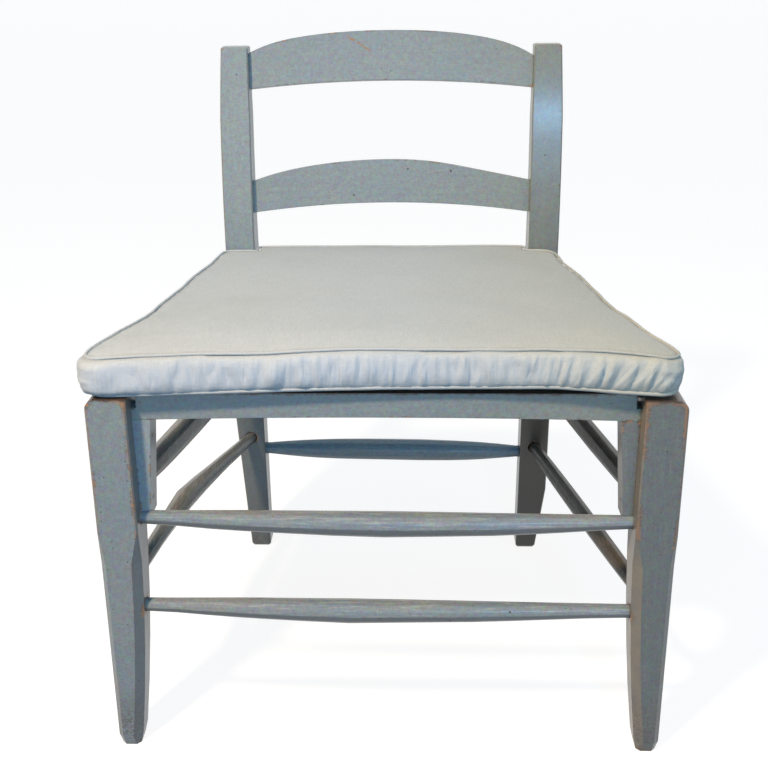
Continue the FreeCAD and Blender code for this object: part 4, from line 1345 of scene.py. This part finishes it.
    def map_cloth(self, piece: Piece) -> None:
        """Writes the cloth's own coordinates and how near each point is to a seam.

        Args:
            piece: The finished cover.
        """
        mesh = piece.data
        points = vectors(mesh.vertices)
        seam, along, _, _ = self.seam_shares(points - np.column_stack([np.zeros((len(points), 2)),
                                                                       self.springs(points)]))
        near = mesh.attributes.new("seam", "FLOAT", "POINT")
        near.data.foreach_set("value", np.exp(-(seam / 0.0032) ** 2))
        upright = np.abs(vectors(mesh.vertices, "normal")[:, 2])
        gathered = mesh.attributes.new("gathered", "FLOAT", "POINT")
        gathered.data.foreach_set("value", clamped(1 - 1.4 * upright) * clamped(seam / 0.006))
        along = along - self.slant(points) * (points[:, 2] - self.low) / self.height
        layer = mesh.uv_layers.new(name="cloth")
        corner = np.empty(len(mesh.loops), dtype=int)
        mesh.loops.foreach_get("vertex_index", corner)
        sizes = np.empty(len(mesh.polygons), dtype=int)
        mesh.polygons.foreach_get("loop_total", sizes)
        flat = np.repeat(np.abs(vectors(mesh.polygons, "normal")[:, 2]) > 0.6, sizes)
        uv = np.where(flat[:, None], points[corner][:, :2],
                      np.column_stack([along[corner], points[corner][:, 2]]))
        layer.data.foreach_set("uv", uv.ravel())

    def piping(self, name: str, node: str, height: float, cord: tuple[float, float], material: Material) -> None:
        """Runs a cord round one seam.

        Args:
            name: Name of the cord.
            node: Solid that it stands for.
            height: Height of the cord's middle.
            cord: Its radius, and how far it stands out.
            material: Its finish.
        """
        radius, outward = cord
        step = 0.0025
        ring = self.outline.ring(step, outward)
        count, sides = len(ring), 10
        centre = np.column_stack([ring, np.full(count, height)])
        wander = np.array([noise.noise(Vector((i / 14.0, height * 90, 0.4))) for i in range(count)])
        fade = np.minimum(1, np.minimum(np.arange(count), count - np.arange(count)) / 30)
        centre[:, 2] += self.springs(centre) + 0.0005 * wander * fade
        ahead = directions(np.roll(centre, -1, axis=0) - np.roll(centre, 1, axis=0))
        out = np.column_stack([ahead[:, 1], -ahead[:, 0], np.zeros(count)])
        away = np.linalg.norm(centre[:, :2] - np.array(self.outline.corners[0][:2]), axis=1)
        centre -= out * (0.0026 * np.exp(-(away / 0.016) ** 2))[:, None]
        rise = np.cross(ahead, -out)
        angles = np.arange(sides) * 2 * math.pi / sides
        tube = centre[:, None] + radius * (np.cos(angles)[None, :, None] * out[:, None]
                                           + np.sin(angles)[None, :, None] * rise[:, None])
        faces = [(i * sides + j, ((i + 1) % count) * sides + j, ((i + 1) % count) * sides + (j + 1) % sides,
                  i * sides + (j + 1) % sides) for i in range(count) for j in range(sides)]
        piece = Bench.stitch(name, tube.reshape(-1, 3), faces)
        layer = piece.data.uv_layers.new(name="cloth")
        uv = [((i + a) * step, (j + b) * 2 * math.pi * radius / sides)
              for i in range(count) for j in range(sides) for a, b in ((0, 0), (1, 0), (1, 1), (0, 1))]
        layer.data.foreach_set("uv", np.array(uv).ravel())
        piece.data.attributes.new("seam", "FLOAT", "POINT")
        Bench.face_out()
        bpy.ops.object.shade_smooth()
        Bench.hand_over(piece, material, "piping", Body.CUSHION, node)

    def build(self) -> None:
        """Builds the cover and both cords."""
        piece = self.stuffed()
        self.inflate(piece)
        Bench.apply(piece, "SUBSURF", levels=1, render_levels=1)
        self.crease(piece)
        self.map_cloth(piece)
        Bench.take(piece)
        bpy.ops.object.shade_smooth()
        Bench.hand_over(piece, self.cover.build(), "cover", Body.CUSHION, "seat_cushion")
        cord = self.cord_cover.build()
        self.piping("top_piping_cord", "cushion_top_piping", self.low + self.height, self.top_cord, cord)
        self.piping("bottom_piping_cord", "cushion_bottom_piping", self.low + self.bottom_cord[0],
                    self.bottom_cord, cord)


# Studio


@dataclass
class Studio:
    """Pale floor, soft lamps and the camera.

    Attributes:
        eye: Place of the camera.
        yaw: Turn of the camera to its right, in radians.
        pitch: How far it looks down, in radians.
        roll: Its turn about its own axis, in radians.
        lens: Focal length in millimetres.
        shift: Lens shift.
        lamps: Place, size, power and colour of each lamp.
        sky: Colour of the light from all round.
        sky_strength: Its strength.
        aim: What the lamps are turned to.
    """

    eye: Point = (0.02323, -1.08832, 0.73700)
    yaw: float = -0.0379
    pitch: float = 0.3588
    roll: float = -0.0122
    lens: float = 50.755
    shift: tuple[float, float] = (0.015625, -0.03125)
    lamps: Sequence[tuple[str, Point, float, float, Colour]] = (
        ("key", (-0.76, -1.19, 1.87), 0.22, 43.0, (1.0, 0.78, 0.56)),
        ("window", (0.30, -2.3, 1.05), 1.0, 11.5, (0.13, 0.48, 1.0)),
        ("glint", (0.48, -2.2, 1.2), 0.2, 8.0, (0.30, 0.62, 1.0)),
        ("fill", (1.35, -1.0, 0.75), 0.6, 3.2, (1.0, 0.74, 0.50)),
    )
    sky: Colour = (0.16, 0.60, 1.0)
    sky_strength: float = 0.36
    aim: Point = (0.0, 0.0, 0.33)

    def camera(self) -> None:
        """Makes the camera and points it as the photograph was taken."""
        data = bpy.data.cameras.new("camera")
        data.sensor_width = 36.0
        data.lens = self.lens
        data.shift_x, data.shift_y = self.shift
        data.clip_start, data.clip_end = 0.05, 200.0
        forward = Vector((math.sin(self.yaw) * math.cos(self.pitch), math.cos(self.yaw) * math.cos(self.pitch),
                          -math.sin(self.pitch)))
        level = Vector((math.cos(self.yaw), -math.sin(self.yaw), 0.0))
        plumb = level.cross(forward)
        right = level * math.cos(self.roll) + plumb * math.sin(self.roll)
        up = plumb * math.cos(self.roll) - level * math.sin(self.roll)
        turn = Matrix((right, up, -forward)).transposed().to_4x4()
        holder = bpy.data.objects.new("camera", data)
        holder.matrix_world = Matrix.Translation(Vector(self.eye)) @ turn
        bpy.context.scene.collection.objects.link(holder)
        bpy.context.scene.camera = holder

    def lights(self) -> None:
        """Hangs the lamps, each turned to the seat; the key lamp is kept out of reflections."""
        for name, place, size, power, colour in self.lamps:
            data = bpy.data.lights.new(name, "AREA")
            data.shape, data.size, data.energy, data.color = "DISK", size, power, colour
            lamp = bpy.data.objects.new(name, data)
            lamp.visible_glossy = name != "key"
            lamp.location = place
            way = Vector(self.aim) - Vector(place)
            lamp.rotation_euler = way.to_track_quat("-Z", "Y").to_euler()
            bpy.context.scene.collection.objects.link(lamp)

    def air(self) -> None:
        """Fills the world: white where it is seen, a cool soft light where it falls on things."""
        world = bpy.data.worlds.new("air")
        world.use_nodes = True
        bpy.context.scene.world = world
        wiring = Wiring(world.node_tree)
        world.node_tree.nodes.clear()
        soft = wiring.node("ShaderNodeBackground", {"Color": self.sky, "Strength": self.sky_strength})
        white = wiring.node("ShaderNodeBackground", {"Color": (1.0, 1.0, 1.0), "Strength": 1.0})
        mixed = wiring.node("ShaderNodeMixShader", {0: wiring.seen(), 1: soft.outputs[0], 2: white.outputs[0]})
        wiring.node("ShaderNodeOutputWorld", {"Surface": mixed.outputs[0]})

    def floor(self) -> None:
        """Lays a wide pale floor that keeps the chair's shadow."""
        Bench.clear()
        bpy.ops.mesh.primitive_plane_add(size=60.0, location=(0, 0, 0))
        plane = bpy.context.active_object
        plane.name = "floor"
        material, wiring, shader = new_material("pale_floor")
        wiring.feed(shader, {"Base Color": (0.27, 0.27, 0.27), "Roughness": 0.9, "Specular IOR Level": 0.1})
        glow = wiring.node("ShaderNodeEmission", {"Color": (1.0, 0.97, 0.94), "Strength": 0.90})
        lit = wiring.node("ShaderNodeAddShader", {0: shader.outputs[0], 1: glow.outputs[0]})
        dull = wiring.node("ShaderNodeBsdfDiffuse", {"Color": (0.11, 0.10, 0.09)})
        mixed = wiring.node("ShaderNodeMixShader", {0: wiring.seen(), 1: dull.outputs[0], 2: lit.outputs[0]})
        output = next(n for n in material.node_tree.nodes if n.type == "OUTPUT_MATERIAL")
        wiring.put(output.inputs["Surface"], mixed.outputs[0])
        plane.data.materials.append(material)

    def build(self) -> None:
        """Sets up the whole studio."""
        self.camera()
        self.lights()
        self.air()
        self.floor()
        bpy.context.scene.view_settings.view_transform = "Standard"


def main() -> None:
    """Builds the chair and its studio."""
    logging.basicConfig(level=logging.INFO, format="%(name)s %(message)s")
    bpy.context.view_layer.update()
    Studio().build()
    for assembly in (SquareStock(), Stretchers(), BoxCushion()):
        log.info("%s", type(assembly).__name__)
        assembly.build()
    Bench.clear()


if __name__ == "__main__":
    main()
